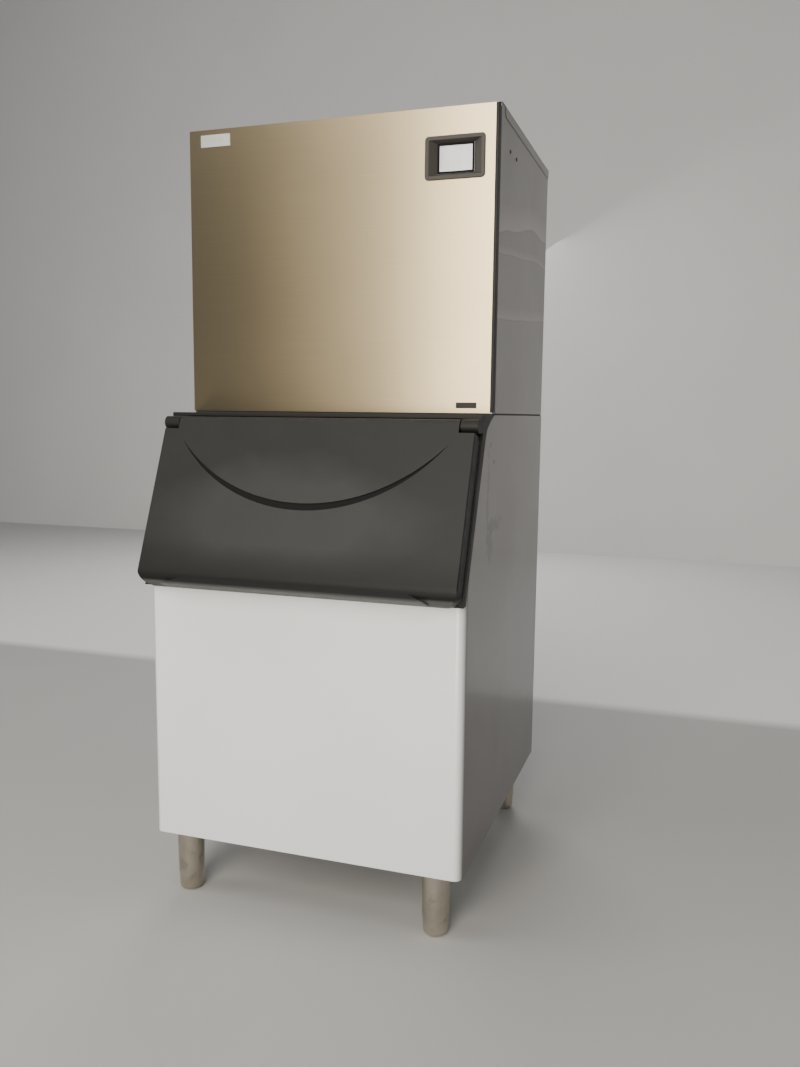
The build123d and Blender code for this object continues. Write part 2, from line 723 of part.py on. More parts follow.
# Side panels, one mirrored from the other, with screw holes near the front
cover_low_z = joint_z + head_height + cover_rise - cover_lip
cover_top_z = joint_z + head_height + cover_rise
for side, name in ((-1, "side_panel_left"), (1, "side_panel_right")):
    with BuildPart() as side_panel:
        x_span = sorted((side * head_half, side * (head_half - sheet)))
        block(x_span, (body_front_y, head_rear_y - sheet), (joint_z, cover_low_z + cover_lip / 2))
        block(x_span, (body_front_y, head_front_y + cover_lip_setback - seat_gap),
              (cover_low_z, cover_top_z - sheet))
        screw_z = head_top_z - screw_drop
        with Locations(*[(side * head_half, head_front_y + back, screw_z) for back in screw_setbacks]):
            Cylinder(screw_radius, 4 * sheet, rotation=(0, 90, 0), mode=Mode.SUBTRACT)
        if side < 0:
            for index in range(slot_count):
                slot_z = joint_z + slot_low + index * slot_pitch
                with Locations((side * half_width, head_front_y + slot_setback, slot_z)):
                    Box(4 * sheet, slot_width, slot_height, mode=Mode.SUBTRACT)
    keep(side_panel, name)

# Screws of the side panels
with BuildPart() as side_screws:
    for side in (-1, 1):
        for setback in screw_setbacks:
            start = (side * head_half, head_front_y + setback, head_top_z - screw_drop)
            rod(start, (side, 0, 0), screw_head_radius, screw_head_height)
            rod((side * (head_half - sheet), start[1], start[2]), (side, 0, 0), screw_radius, sheet)
keep(side_screws, "side_screws")

# Rear panel with air slots behind the condenser and holes for the fittings
condenser_x = (condenser_left + condenser_right) / 2
fan_z = joint_z + sheet + condenser_high / 2
trough_drain_x = 100.0
trough_drain_z = joint_z + trough_low + trough_wall + drain_radius + seat_gap
with BuildPart() as rear_panel:
    block((-head_half, head_half), (head_back_y, head_rear_y), (joint_z, cover_low_z + cover_lip / 2))
    rows = int((condenser_high - slot_pitch) // slot_pitch)
    with Locations((condenser_x, head_rear_y, fan_z)):
        for index in range(rows):
            with Locations((0, 0, (index - (rows - 1) / 2) * slot_pitch)):
                Box(rear_slot_width, 4 * sheet, slot_height, mode=Mode.SUBTRACT)
    hole_start = head_back_y - sheet
    rod((valve_x, hole_start, valve_z), (0, 1, 0), inlet_radius + seat_gap, 4 * sheet, Mode.SUBTRACT)
    rod((trough_drain_x, hole_start, trough_drain_z), (0, 1, 0), drain_radius + seat_gap, 4 * sheet,
        Mode.SUBTRACT)
    rod((gland_x, hole_start, gland_z), (0, 1, 0), gland_radius + seat_gap, 4 * sheet, Mode.SUBTRACT)
keep(rear_panel, "rear_panel")

# Top cover: shallow lid whose side lips overlap the side panels
with BuildPart() as top_cover:
    block((-half_width, half_width), (body_front_y, head_rear_y + sheet), (cover_low_z, cover_top_z))
    inner = half_width - sheet + seat_gap / 2
    block((-inner, inner), (body_front_y - 1, head_rear_y), (rim_z, cover_top_z - sheet), Mode.SUBTRACT)
    lip_y = head_front_y + cover_lip_setback
    lip_cut_top = cover_top_z - sheet
    for side in (-1, 1):
        block(sorted((side * inner, side * (half_width + 1))), (body_front_y - 1, lip_y),
              (rim_z, lip_cut_top),
              Mode.SUBTRACT)
    corners = top_cover.edges().filter_by(Axis.X).filter_by(
        lambda edge: abs(edge.center().Y - lip_y) < 0.01 and abs(edge.center().Z - cover_low_z) < 0.01
    )
    fillet(corners, cover_lip_radius)
keep(top_cover, "top_cover")

# Stainless front panel with the hole for the display
with BuildPart() as front_panel:
    block((-half_width, half_width - frame_reveal), (head_front_y, head_front_y + panel_thickness),
          (joint_z, joint_z + head_height))
    block((bezel_left + bezel_lip, bezel_right - bezel_lip), (head_front_y - 1, body_front_y),
          (joint_z + bezel_low + bezel_lip, joint_z + bezel_high - bezel_lip), Mode.SUBTRACT)
keep(front_panel, "front_panel")

# Black frame behind the edge of the front panel
with BuildPart() as front_frame:
    outer = half_width - 1.0
    y_span = (head_front_y + panel_thickness, head_front_y + panel_thickness + frame_depth)
    z_low = joint_z + sheet + seat_gap
    z_high = joint_z + head_height - 1.0
    block((-outer, outer), y_span, (z_low, z_high))
    inner = outer - frame_band
    block((-inner, inner), (y_span[0] - 1, y_span[1] + 1), (z_low + frame_band, z_high - frame_band),
          Mode.SUBTRACT)
keep(front_frame, "front_frame")

# Display bezel: rounded frame whose faces slope in to the window, with a tub behind the panel
window = (bezel_left + window_margin_x, bezel_right - window_margin_x)
window_z = (bezel_low + window_margin_z, bezel_high - window_margin_z)
bezel_x = (bezel_left + bezel_right) / 2
bezel_z = joint_z + (bezel_low + bezel_high) / 2
screen_y = head_front_y + window_recess
with BuildPart() as display_bezel:
    with BuildSketch(front_plane(head_front_y)):
        with Locations((bezel_x, bezel_z)):
            RectangleRounded(bezel_right - bezel_left, bezel_high - bezel_low, bezel_radius)
    extrude(amount=bezel_proud)
    chamfer(display_bezel.faces().sort_by(Axis.Y)[0].edges(), bezel_proud / 2)
    block((bezel_left + bezel_lip + seat_gap, bezel_right - bezel_lip - seat_gap),
          (head_front_y, head_front_y + bezel_depth),
          (joint_z + bezel_low + bezel_lip + seat_gap, joint_z + bezel_high - bezel_lip - seat_gap))
    block((bezel_left + bezel_lip + tub_wall, bezel_right - bezel_lip - tub_wall),
          (screen_y, head_front_y + bezel_depth + 1),
          (joint_z + bezel_low + bezel_lip + tub_wall, joint_z + bezel_high - bezel_lip - tub_wall),
          Mode.SUBTRACT)
    with BuildSketch(front_plane(head_front_y - bezel_proud)) as mouth:
        with Locations((bezel_x, bezel_z)):
            Rectangle(bezel_right - bezel_left - 2 * bezel_radius, bezel_high - bezel_low - 2 * bezel_radius)
    with BuildSketch(front_plane(screen_y)) as throat:
        with Locations((bezel_x, bezel_z)):
            Rectangle(window[1] - window[0], window_z[1] - window_z[0])
    loft([mouth.sketch, throat.sketch], mode=Mode.SUBTRACT)
keep(display_bezel, "display_bezel")

# Display screen seated behind the window, and the board that carries it
with BuildPart() as display_screen:
    block((bezel_left + bezel_lip + tub_wall + seat_gap, bezel_right - bezel_lip - tub_wall - seat_gap),
          (screen_y, screen_y + screen_thickness),
          (joint_z + bezel_low + bezel_lip + tub_wall + seat_gap,
           joint_z + bezel_high - bezel_lip - tub_wall - seat_gap))
keep(display_screen, "display_screen")

# Blank plate and small dark tag on the front panel
with BuildPart() as name_plate:
    block((plate_left, plate_left + plate_width), (head_front_y - plate_thickness, head_front_y),
          (joint_z + plate_high - plate_tall, joint_z + plate_high))
keep(name_plate, "name_plate")
with BuildPart() as panel_tag:
    block((tag_right - tag_width, tag_right), (head_front_y - plate_thickness, head_front_y),
          (joint_z + tag_low, joint_z + tag_low + tag_tall))
keep(panel_tag, "panel_tag")

# Partition between the wet side and the machine side, with holes for the coil's ends
coil_setback = grid_front + cell_depth + plate_back + coil_radius + seat_gap
coil_exit_setback = upright_rear + coil_radius + 10.0
coil_low = grid_low + coil_pitch / 2
coil_high = coil_low + (coil_runs - 1) * coil_pitch
with BuildPart() as partition:
    block((partition_x - sheet, partition_x), (body_front_y + sheet + seat_gap, head_back_y),
          (joint_z + sheet, joint_z + head_height - 2 * cover_rise))
    for height in (coil_low, coil_high):
        start = (partition_x - 3 * sheet, head_front_y + coil_exit_setback, joint_z + height)
        rod(start, (1, 0, 0), coil_radius + seat_gap, 4 * sheet, Mode.SUBTRACT)
keep(partition, "partition")

# Evaporator frame: two uprights on the base, joined under the distributor
with BuildPart() as evaporator_frame:
    for x_span in ((grid_left - upright_width, grid_left), (grid_right, grid_right + upright_width)):
        block(x_span, (head_front_y + upright_front, head_front_y + upright_rear),
              (joint_z + sheet, joint_z + grid_top + upright_rise))
    block((grid_left, grid_right), (head_front_y + grid_front, head_front_y + grid_front + cell_depth),
          (joint_z + grid_top, joint_z + grid_top + 4 * sheet))
    pin_y = head_front_y + upright_front + 2 * curtain_pin_radius
    for x_start, way in ((grid_left + 1, -1), (grid_right - 1, 1)):
        rod((x_start, pin_y, joint_z + curtain_axis_height), (way, 0, 0), curtain_pin_radius + running_gap,
            curtain_pin_length + 2, Mode.SUBTRACT)
keep(evaporator_frame, "evaporator_frame")

# Evaporator plate: copper back with a grid of open cube cells
with BuildPart() as evaporator_plate:
    grid_y = head_front_y + grid_front
    block((grid_left, grid_right), (grid_y, grid_y + cell_depth + plate_back),
          (joint_z + grid_low, joint_z + grid_top))
    with BuildSketch(front_plane(grid_y + cell_depth)):
        with Locations(((grid_left + grid_right) / 2, joint_z + (grid_low + grid_top) / 2)):
            with GridLocations(cell_pitch, cell_pitch, grid_columns, grid_rows):
                Rectangle(cell_pitch - cell_wall, cell_pitch - cell_wall)
    extrude(amount=cell_depth + 1, mode=Mode.SUBTRACT)
keep(evaporator_plate, "evaporator_plate")

# Evaporator coil: copper tube to and fro on the back of the plate, both ends through the partition
coil_left = grid_left + coil_bend + 2.0
coil_right = grid_right - coil_bend - 2.0
coil_end_x = partition_x - 24.0
exit_y = head_front_y + coil_exit_setback
coil_y = head_front_y + coil_setback
coil_points = [(coil_end_x, exit_y, joint_z + coil_low), (coil_left, exit_y, joint_z + coil_low)]
for run in range(coil_runs):
    run_z = joint_z + coil_low + run * coil_pitch
    ends = (coil_left, coil_right) if run % 2 == 0 else (coil_right, coil_left)
    coil_points += [(ends[0], coil_y, run_z), (ends[1], coil_y, run_z)]
coil_points += [(coil_left, exit_y, joint_z + coil_high), (coil_end_x, exit_y, joint_z + coil_high)]
with BuildPart() as evaporator_coil:
    tube_along(coil_points, coil_bend, coil_radius, coil_wall)
keep(evaporator_coil, "evaporator_coil")

# Water distributor: tube with a row of holes along the top of the plate
distributor_y = head_front_y + grid_front
riser_x = pump_x - pump_motor_radius - hose_radius - riser_gap
with BuildPart() as water_distributor:
    start = (grid_left, distributor_y, joint_z + distributor_height)
    rod(start, (1, 0, 0), distributor_radius, grid_width)
    rod((grid_left + hose_wall, start[1], start[2]), (1, 0, 0), distributor_radius - hose_wall,
        grid_width - 2 * hose_wall, Mode.SUBTRACT)
    hole_z = joint_z + distributor_height - distributor_radius
    with Locations(((grid_left + grid_right) / 2, distributor_y, hole_z)):
        with GridLocations(cell_pitch, 1, grid_columns, 1):
            Cylinder(drip_hole_radius, 4 * hose_wall, mode=Mode.SUBTRACT)
    feed_z = joint_z + distributor_height + distributor_radius - hose_wall / 2
    rod((riser_x, distributor_y, feed_z), (0, 0, 1), hose_radius, hose_wall * 3)
    rod((riser_x, distributor_y, feed_z - hose_wall * 2), (0, 0, 1), hose_radius - hose_wall, hose_wall * 6,
        Mode.SUBTRACT)
keep(water_distributor, "water_distributor")

# Water curtain: thin flap ahead of the plate on two stub pins
with BuildPart() as water_curtain:
    flap = (grid_left + 2 * seat_gap, grid_right - 2 * seat_gap)
    y_span = (pin_y - curtain_thickness / 2, pin_y + curtain_thickness / 2)
    block(flap, y_span, (joint_z + grid_low - curtain_hem, joint_z + curtain_axis_height))
    rod((grid_left - curtain_pin_length, pin_y, joint_z + curtain_axis_height), (1, 0, 0), curtain_pin_radius,
        grid_width + 2 * curtain_pin_length)
keep(water_curtain, "water_curtain")

# Slotted guide that slopes under the plate, so ice slides forward and water drips through
with BuildPart() as ice_guide:
    guide_top = (head_front_y + grid_front + cell_depth, joint_z + grid_low - curtain_hem)
    guide_low = (head_front_y + upright_front + 2 * curtain_pin_radius, joint_z + trough_high + guide_margin)
    prism(side_plane.offset((grid_left + grid_right) / 2),
          [guide_top, guide_low, (guide_low[0], guide_low[1] - guide_thickness),
           (guide_top[0], guide_top[1] - guide_thickness)], grid_width / 2)
    slot_length = (guide_top[0] - guide_low[0]) - 4 * cell_wall
    with BuildSketch(Plane.XY.offset(joint_z + trough_high)):
        with Locations(((grid_left + grid_right) / 2, (guide_top[0] + guide_low[0]) / 2)):
            with GridLocations(cell_pitch, 1, grid_columns - 2, 1):
                Rectangle(cell_pitch / 2, slot_length)
    extrude(amount=grid_low, mode=Mode.SUBTRACT)
keep(ice_guide, "ice_guide")

# Water trough on two runners under the plate
trough_front_y = head_front_y + upright_front + 4 * curtain_pin_radius
trough_rear_y = head_front_y + trough_rear
trough = (grid_left + seat_gap, grid_right - seat_gap)
with BuildPart() as water_trough:
    block(trough, (trough_front_y, trough_rear_y), (joint_z + trough_low, joint_z + trough_high))
    block((trough[0] + trough_wall, trough[1] - trough_wall),
          (trough_front_y + trough_wall, trough_rear_y - trough_wall),
          (joint_z + trough_low + trough_wall, joint_z + trough_high + 1), Mode.SUBTRACT)
    for x_start in (trough[0], trough[1] - 2 * trough_wall):
        block((x_start, x_start + 2 * trough_wall), (trough_front_y, trough_rear_y),
              (joint_z + sheet, joint_z + trough_low))
    rod((trough_drain_x, trough_rear_y - 2 * trough_wall, trough_drain_z), (0, 1, 0), drain_radius + seat_gap,
        4 * trough_wall, Mode.SUBTRACT)
keep(water_trough, "water_trough")

# Drain tube of the trough out of the rear panel
with BuildPart() as trough_drain:
    drain_start = trough_rear_y - trough_wall
    rod((trough_drain_x, drain_start, trough_drain_z), (0, 1, 0), drain_radius, head_rear_y - drain_start)
    rod((trough_drain_x, head_rear_y, trough_drain_z), (0, 1, 0), spigot_radius, rear_stub)
    rod((trough_drain_x, drain_start - 1, trough_drain_z), (0, 1, 0), spigot_radius - hose_wall, far,
        Mode.SUBTRACT)
keep(trough_drain, "trough_drain")

# Pump standing in the trough
trough_floor_z = joint_z + trough_low + trough_wall
pump_y = head_front_y + pump_setback
with BuildPart() as water_pump:
    rod((pump_x, pump_y, trough_floor_z), (0, 0, 1), pump_housing_radius, pump_housing_height)
    neck_z = trough_floor_z + pump_housing_height
    rod((pump_x, pump_y, neck_z), (0, 0, 1), pump_neck_radius, pump_neck_height)
    motor_z = neck_z + pump_neck_height
    rod((pump_x, pump_y, motor_z), (0, 0, 1), pump_motor_radius, pump_motor_height)
    fillet(water_pump.edges().group_by(Axis.Z)[-1], pump_motor_radius / 4)
    block((riser_x - hose_radius, pump_x), (pump_y - hose_radius, pump_y + hose_radius),
          (trough_floor_z, neck_z - seat_gap))
keep(water_pump, "water_pump")

# Hoses: pump to distributor, and inlet valve to trough
hose_bend = 20.0
hose_top = distributor_height + distributor_radius + 2 * hose_bend
valve_y = head_back_y - valve_size / 2
with BuildPart() as water_hoses:
    feed_top = feed_z + hose_wall * 3
    hose_route = [(riser_x, pump_y, neck_z), (riser_x, pump_y, joint_z + hose_top),
                  (riser_x, distributor_y, joint_z + hose_top), (riser_x, distributor_y, feed_top)]
    tube_along(hose_route, hose_bend, hose_radius, hose_wall)
    inlet_low = valve_z - valve_size / 2
    fill_route = [(valve_x, valve_y, inlet_low), (valve_x, valve_y, joint_z + trough_high + 3 * hose_bend),
                  (valve_x, trough_rear_y - 2 * hose_bend, joint_z + trough_high + 3 * hose_bend),
                  (valve_x, trough_rear_y - 2 * hose_bend, joint_z + trough_high - hose_bend / 2)]
    tube_along(fill_route, hose_bend / 2, coil_radius, coil_wall)
keep(water_hoses, "water_hoses")

# Inlet valve with its threaded stub through the rear panel
with BuildPart() as inlet_valve:
    block((valve_x - valve_size / 2, valve_x + valve_size / 2), (valve_y - valve_size / 2, head_back_y),
          (inlet_low, valve_z + valve_size / 2))
    rod((valve_x, head_back_y, valve_z), (0, 1, 0), inlet_radius, rear_stub + sheet)
    rod((valve_x, head_back_y, valve_z), (0, 1, 0), inlet_radius - 3 * hose_wall, far, Mode.SUBTRACT)
    rod((valve_x, valve_y, valve_z + valve_size / 2), (0, 0, 1), valve_size * 0.4, valve_size * 0.75)
keep(inlet_valve, "inlet_valve")

# Float switch: stem on a bracket from the trough's rear wall, and the float that slides on it
float_y = head_front_y + float_setback
collar_z = trough_floor_z + hose_radius
bracket_z = joint_z + trough_high
with BuildPart() as float_switch:
    rod((float_x, float_y, collar_z), (0, 0, 1), float_stem_radius, bracket_z - collar_z)
    rod((float_x, float_y, collar_z), (0, 0, 1), 2 * float_stem_radius, float_stem_radius)
    block((float_x - float_radius, float_x + float_radius), (float_y - float_radius, trough_rear_y),
          (bracket_z, bracket_z + trough_wall))
keep(float_switch, "float_switch")
with BuildPart() as level_float:
    float_low = collar_z + float_stem_radius
    rod((float_x, float_y, float_low), (0, 0, 1), float_radius, float_height)
    chamfer(level_float.edges().filter_by(GeomType.CIRCLE), float_stem_radius)
    rod((float_x, float_y, float_low - 1), (0, 0, 1), float_stem_radius + running_gap, float_height + 2,
        Mode.SUBTRACT)
keep(level_float, "level_float")

# Compressor: domed pot on a plate, on four rubber mounts
base_top = joint_z + sheet
pot_y = head_front_y + pot_setback
with BuildPart() as compressor:
    plate_z = base_top + grommet_height
    plate_span = pot_radius + grommet_radius
    block((pot_x - plate_span, pot_x + plate_span), (pot_y - pot_radius, pot_y + pot_radius),
          (plate_z, plate_z + pot_plate))
    with BuildSketch(Plane.XY.offset(plate_z + pot_plate)):
        with Locations((pot_x, pot_y)):
            Circle(pot_radius)
    extrude(amount=pot_height)
    fillet(compressor.edges().filter_by(GeomType.CIRCLE).group_by(Axis.Z)[-1], pot_dome)
keep(compressor, "compressor")
with BuildPart() as compressor_mounts:
    with Locations((pot_x, pot_y, base_top + grommet_height / 2)):
        with GridLocations(2 * pot_radius, 2 * (pot_radius - grommet_radius), 2, 2):
            Cylinder(grommet_radius, grommet_height)
keep(compressor_mounts, "compressor_mounts")

# Condenser: upright fins on level tubes between two end plates
condenser_front_y = head_back_y - condenser_rear_gap - condenser_depth
condenser_rear_y = condenser_front_y + condenser_depth
with BuildPart() as condenser:
    fin_count = int((condenser_right - condenser_left) // fin_pitch)
    fin_middle_z = base_top + condenser_high / 2
    with Locations((condenser_x, condenser_front_y + condenser_depth / 2, fin_middle_z)):
        with GridLocations(fin_pitch, 1, fin_count, 1):
            Box(fin_thickness, condenser_depth, condenser_high)
        row_pitch = condenser_high / tube_rows
        for row in range(tube_rows):
            with Locations((0, 0, (row - (tube_rows - 1) / 2) * row_pitch)):
                Cylinder(line_radius, condenser_right - condenser_left, rotation=(0, 90, 0))
keep(condenser, "condenser")

# Fan shroud on the condenser's front, with a bridge that carries the motor
shroud_depth = fan_width + 8.0
shroud_front_y = condenser_front_y - shroud_depth
bridge_y = shroud_front_y - motor_length / 2
with BuildPart() as fan_shroud:
    x_span = (condenser_x - fan_radius - 20.0, condenser_x + fan_radius + 20.0)
    block(x_span, (shroud_front_y, condenser_front_y), (base_top, base_top + condenser_high))
    inner = (x_span[0] + 2 * sheet, x_span[1] - 2 * sheet)
    block(inner, (shroud_front_y + 2 * sheet, condenser_front_y + 1),
          (base_top + 2 * sheet, base_top + condenser_high - 2 * sheet), Mode.SUBTRACT)
    rod((condenser_x, shroud_front_y - 1, fan_z), (0, 1, 0), fan_radius + fan_ring_gap, 4 * sheet,
        Mode.SUBTRACT)
    arm = 8.0
    for x_start in (x_span[0], x_span[1] - arm):
        block((x_start, x_start + arm), (bridge_y, shroud_front_y), (fan_z - arm, fan_z + arm))
    block(x_span, (bridge_y - arm / 2, bridge_y), (fan_z - arm, fan_z + arm))
keep(fan_shroud, "fan_shroud")

# Fan motor behind the bridge, bored for the shaft
with BuildPart() as fan_motor:
    motor_end_y = bridge_y + motor_length / 2 - seat_gap
    rod((condenser_x, bridge_y, fan_z), (0, 1, 0), motor_radius, motor_end_y - bridge_y)
    chamfer(fan_motor.edges().filter_by(GeomType.CIRCLE), 3.0)
    rod((condenser_x, bridge_y + 5, fan_z), (0, 1, 0), shaft_radius + running_gap, motor_length,
        Mode.SUBTRACT)
keep(fan_motor, "fan_motor")

# Fan: hub with pitched blades on its shaft
fan_front_y = shroud_front_y + 4.0
with BuildPart() as fan:
    rod((condenser_x, fan_front_y, fan_z), (0, 1, 0), fan_hub_radius, fan_width)
    shaft_start = bridge_y + 8.0
    rod((condenser_x, shaft_start, fan_z), (0, 1, 0), shaft_radius, fan_front_y - shaft_start)
    for index in range(fan_blades):
        turn = radians(360 * index / fan_blades)
        centre = (condenser_x, fan_front_y + fan_width / 2, fan_z)
        with BuildSketch(Plane(origin=centre, x_dir=(0, 1, 0), z_dir=(cos(turn), 0, sin(turn)))):
            with Locations(Location((0, 0), 90 - blade_pitch)):
                Rectangle(blade_chord, blade_thickness)
        extrude(amount=fan_radius)
keep(fan, "fan")

# Filter drier beside the partition and the copper lines
drier_x = partition_x - sheet - drier_radius
drier_y = head_front_y + drier_setback
drier_z = joint_z + drier_height
with BuildPart() as filter_drier:
    with BuildSketch(Plane(origin=(drier_x, drier_y, drier_z), x_dir=(1, 0, 0), z_dir=(0, -1, 0))):
        with BuildLine():
            cone = drier_radius - line_radius
            Polyline((0, 0), (line_radius, 0), (drier_radius, cone), (drier_radius, drier_length - cone),
                     (line_radius, drier_length), (0, drier_length), close=True)
        make_face()
    revolve(axis=Axis((drier_x, drier_y, 0), (0, 0, 1)))
keep(filter_drier, "filter_drier")

line_top_z = base_top + condenser_high + 3 * line_bend
pot_top_z = plate_z + pot_plate + pot_height
with BuildPart() as refrigerant_lines:
    # discharge: top of the compressor to the top of the condenser
    port_x = condenser_left + 4 * fin_pitch
    tube_along([(pot_x, pot_y, pot_top_z), (pot_x, pot_y, line_top_z),
                (port_x, pot_y + 3 * line_bend, line_top_z),
                (port_x, condenser_front_y + condenser_depth / 2, line_top_z),
                (port_x, condenser_front_y + condenser_depth / 2, base_top + condenser_high)],
               line_bend, line_radius, line_wall)
    # liquid: side of the condenser to the foot of the drier
    low_tube_z = fin_middle_z - (tube_rows - 1) / 2 * row_pitch
    tube_along([(condenser_right, condenser_front_y + condenser_depth / 2, low_tube_z),
                (drier_x, condenser_front_y + condenser_depth / 2, low_tube_z),
                (drier_x, drier_y, low_tube_z), (drier_x, drier_y, drier_z)],
               capillary_bend, line_radius, line_wall)
    # capillary side: head of the drier to the top end of the coil
    turn_x = coil_end_x - capillary_reach
    high_z = joint_z + coil_high
    tube_along([(drier_x, drier_y, drier_z + drier_length), (drier_x, drier_y, high_z + capillary_rise),
                (turn_x, drier_y, high_z + capillary_rise), (turn_x, exit_y, high_z),
                (coil_end_x, exit_y, high_z)],
               capillary_bend, line_radius, line_wall)
    # suction: low end of the coil to the side of the compressor
    suction_z = plate_z + pot_plate + pot_height / 2
    tube_along([(coil_end_x, exit_y, joint_z + coil_low), (turn_x, exit_y, joint_z + coil_low),
                (turn_x, pot_y, suction_z), (pot_x + pot_radius, pot_y, suction_z)],
               capillary_bend, line_radius, line_wall)
keep(refrigerant_lines, "refrigerant_lines")

# Control box on the right side panel, with its circuit board
box_right = head_half - sheet
box_left = box_right - box_width
with BuildPart() as control_box:
    x_span = (box_left, box_right)
    y_span = (head_front_y + box_front, head_front_y + box_rear)
    z_span = (head_top_z - box_drop - box_tall, head_top_z - box_drop)
    block(x_span, y_span, z_span)
    block((box_left + box_wall, box_right + 1), (y_span[0] + box_wall, y_span[1] - box_wall),
          (z_span[0] + box_wall, z_span[1] - box_wall), Mode.SUBTRACT)
keep(control_box, "control_box")
with BuildPart() as circuit_board:
    board_x = box_left + box_wall + board_standoff
    block((board_x, board_x + board_thickness), (y_span[0] + board_margin, y_span[1] - board_margin),
          (z_span[0] + board_margin, z_span[1] - board_margin))
    for y_place in (y_span[0] + 2 * board_margin, y_span[1] - 2 * board_margin):
        for z_place in (z_span[0] + 2 * board_margin, z_span[1] - 2 * board_margin):
            rod((box_left + box_wall, y_place, z_place), (1, 0, 0), screw_head_radius, board_standoff)
    relay_x = board_x + board_thickness + relay_size[0] / 2
    with Locations((relay_x, (y_span[0] + y_span[1]) / 2, (z_span[0] + z_span[1]) / 2)):
        Box(*relay_size)
keep(circuit_board, "circuit_board")

# Cable gland in the rear panel
with BuildPart() as cable_gland:
    gland_start_y = head_back_y - 2 * sheet
    rod((gland_x, gland_start_y, gland_z), (0, 1, 0), gland_radius, rear_stub - sheet)
    rod((gland_x, head_rear_y, gland_z), (0, 1, 0), gland_radius + gland_flange, gland_nut)
    rod((gland_x, head_back_y - gland_nut, gland_z), (0, 1, 0), gland_radius + gland_flange, gland_nut)
    rod((gland_x, head_back_y - 2 * gland_nut, gland_z), (0, 1, 0), cable_radius, far, Mode.SUBTRACT)
keep(cable_gland, "cable_gland")
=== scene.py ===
# %% [markdown]
# # A cube ice machine
# The machine has two parts that stand on each other. The head makes the ice and has a front of
# brushed stainless steel. The bin below it holds the ice behind a sloping black door.
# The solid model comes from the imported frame, and this lesson gives it its finishes, softens its
# sheet metal edges and lights it. The frame never moves, so each piece only needs its look.

# %% Load the frame
import json
from math import cos, pi, radians, sin

import bpy
from mathutils import Matrix, Vector


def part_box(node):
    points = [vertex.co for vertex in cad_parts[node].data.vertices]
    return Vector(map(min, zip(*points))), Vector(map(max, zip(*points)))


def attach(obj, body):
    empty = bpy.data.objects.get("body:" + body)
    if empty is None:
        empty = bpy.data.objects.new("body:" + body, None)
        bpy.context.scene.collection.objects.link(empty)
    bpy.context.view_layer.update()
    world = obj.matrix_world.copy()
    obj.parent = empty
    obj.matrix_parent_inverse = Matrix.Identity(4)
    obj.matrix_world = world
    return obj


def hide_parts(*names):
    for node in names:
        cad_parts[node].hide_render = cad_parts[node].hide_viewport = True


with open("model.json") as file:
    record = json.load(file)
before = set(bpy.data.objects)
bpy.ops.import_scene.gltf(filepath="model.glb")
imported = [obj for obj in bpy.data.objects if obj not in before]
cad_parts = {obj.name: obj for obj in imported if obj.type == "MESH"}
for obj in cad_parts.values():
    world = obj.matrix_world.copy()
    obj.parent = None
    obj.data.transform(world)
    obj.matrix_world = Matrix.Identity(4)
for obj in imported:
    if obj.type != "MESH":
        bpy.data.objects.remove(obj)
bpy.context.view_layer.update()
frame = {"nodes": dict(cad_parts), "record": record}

nodes = frame["nodes"]
body_of_node = {}
for body_name, members in frame["record"]["behaviour"]["bodies"].items():
    for member in members:
        body_of_node[member] = body_name

# %% [markdown]
# ## Camera
# The picture was taken by hand from the right of the machine, a little above its middle. The camera
# could be aimed with a constraint, but the fitted yaw, pitch and roll are known, so its three axes
# are written straight into its matrix.

# %% Camera
yaw, pitch, roll = radians(18.38), radians(-7.29), radians(0.59)
eye, lens = (0.844, -2.2319, 1.154), 31.2
forward = Vector((-sin(yaw) * cos(pitch), cos(yaw) * cos(pitch), sin(pitch)))
level = Vector((cos(yaw), sin(yaw), 0))
upright = level.cross(forward)
right = level * cos(roll) + upright * sin(roll)
up = upright * cos(roll) - level * sin(roll)
camera_data = bpy.data.cameras.new("camera")
camera_data.lens = lens
camera = bpy.data.objects.new("camera", camera_data)
bpy.context.collection.objects.link(camera)
turn = Matrix((right, up, -forward)).transposed().to_4x4()
camera.matrix_world = Matrix.Translation(eye) @ turn
bpy.context.scene.camera = camera
print("camera at", [round(v, 3) for v in camera.location])

# %% [markdown]
# ## Helpers for materials
# A material is a small graph of nodes. Three short helpers keep the cells below readable: one adds
# a node and fills in its sockets, one starts a new material, and one starts a node group.
# A group is the place for an effect that several finishes share, because it is built once and then
# used with other values.

# %% Material helpers
def add_node(tree, kind, settings=None, **values):
    """Add a shader node, set its properties, and fill or link its sockets by name."""
    node = tree.nodes.new(kind)
    for key, value in (settings or {}).items():
        setattr(node, key, value)
    for name, value in values.items():
        wanted = name.replace("_", " ").lower()
        socket = next(s for s in node.inputs if s.name.lower() == wanted and s.enabled)
        if isinstance(value, bpy.types.NodeSocket):
            tree.links.new(value, socket)
        else:
            socket.default_value = value
    return node


def blend_of(tree, factor, low, high, mode="MIX"):
    """Mix two colours by a factor and return the result's socket."""
    node = tree.nodes.new("ShaderNodeMix")
    node.data_type, node.blend_type = "RGBA", mode
    for index, value in ((0, factor), (6, low), (7, high)):
        if isinstance(value, bpy.types.NodeSocket):
            tree.links.new(value, node.inputs[index])
        else:
            node.inputs[index].default_value = value
    return node.outputs[2]


def math_of(tree, operation, *values):
    """Do one sum on sockets or numbers and return the result's socket."""
    node = tree.nodes.new("ShaderNodeMath")
    node.operation = operation
    for index, value in enumerate(values):
        if isinstance(value, bpy.types.NodeSocket):
            tree.links.new(value, node.inputs[index])
        else:
            node.inputs[index].default_value = value
    return node.outputs[0]


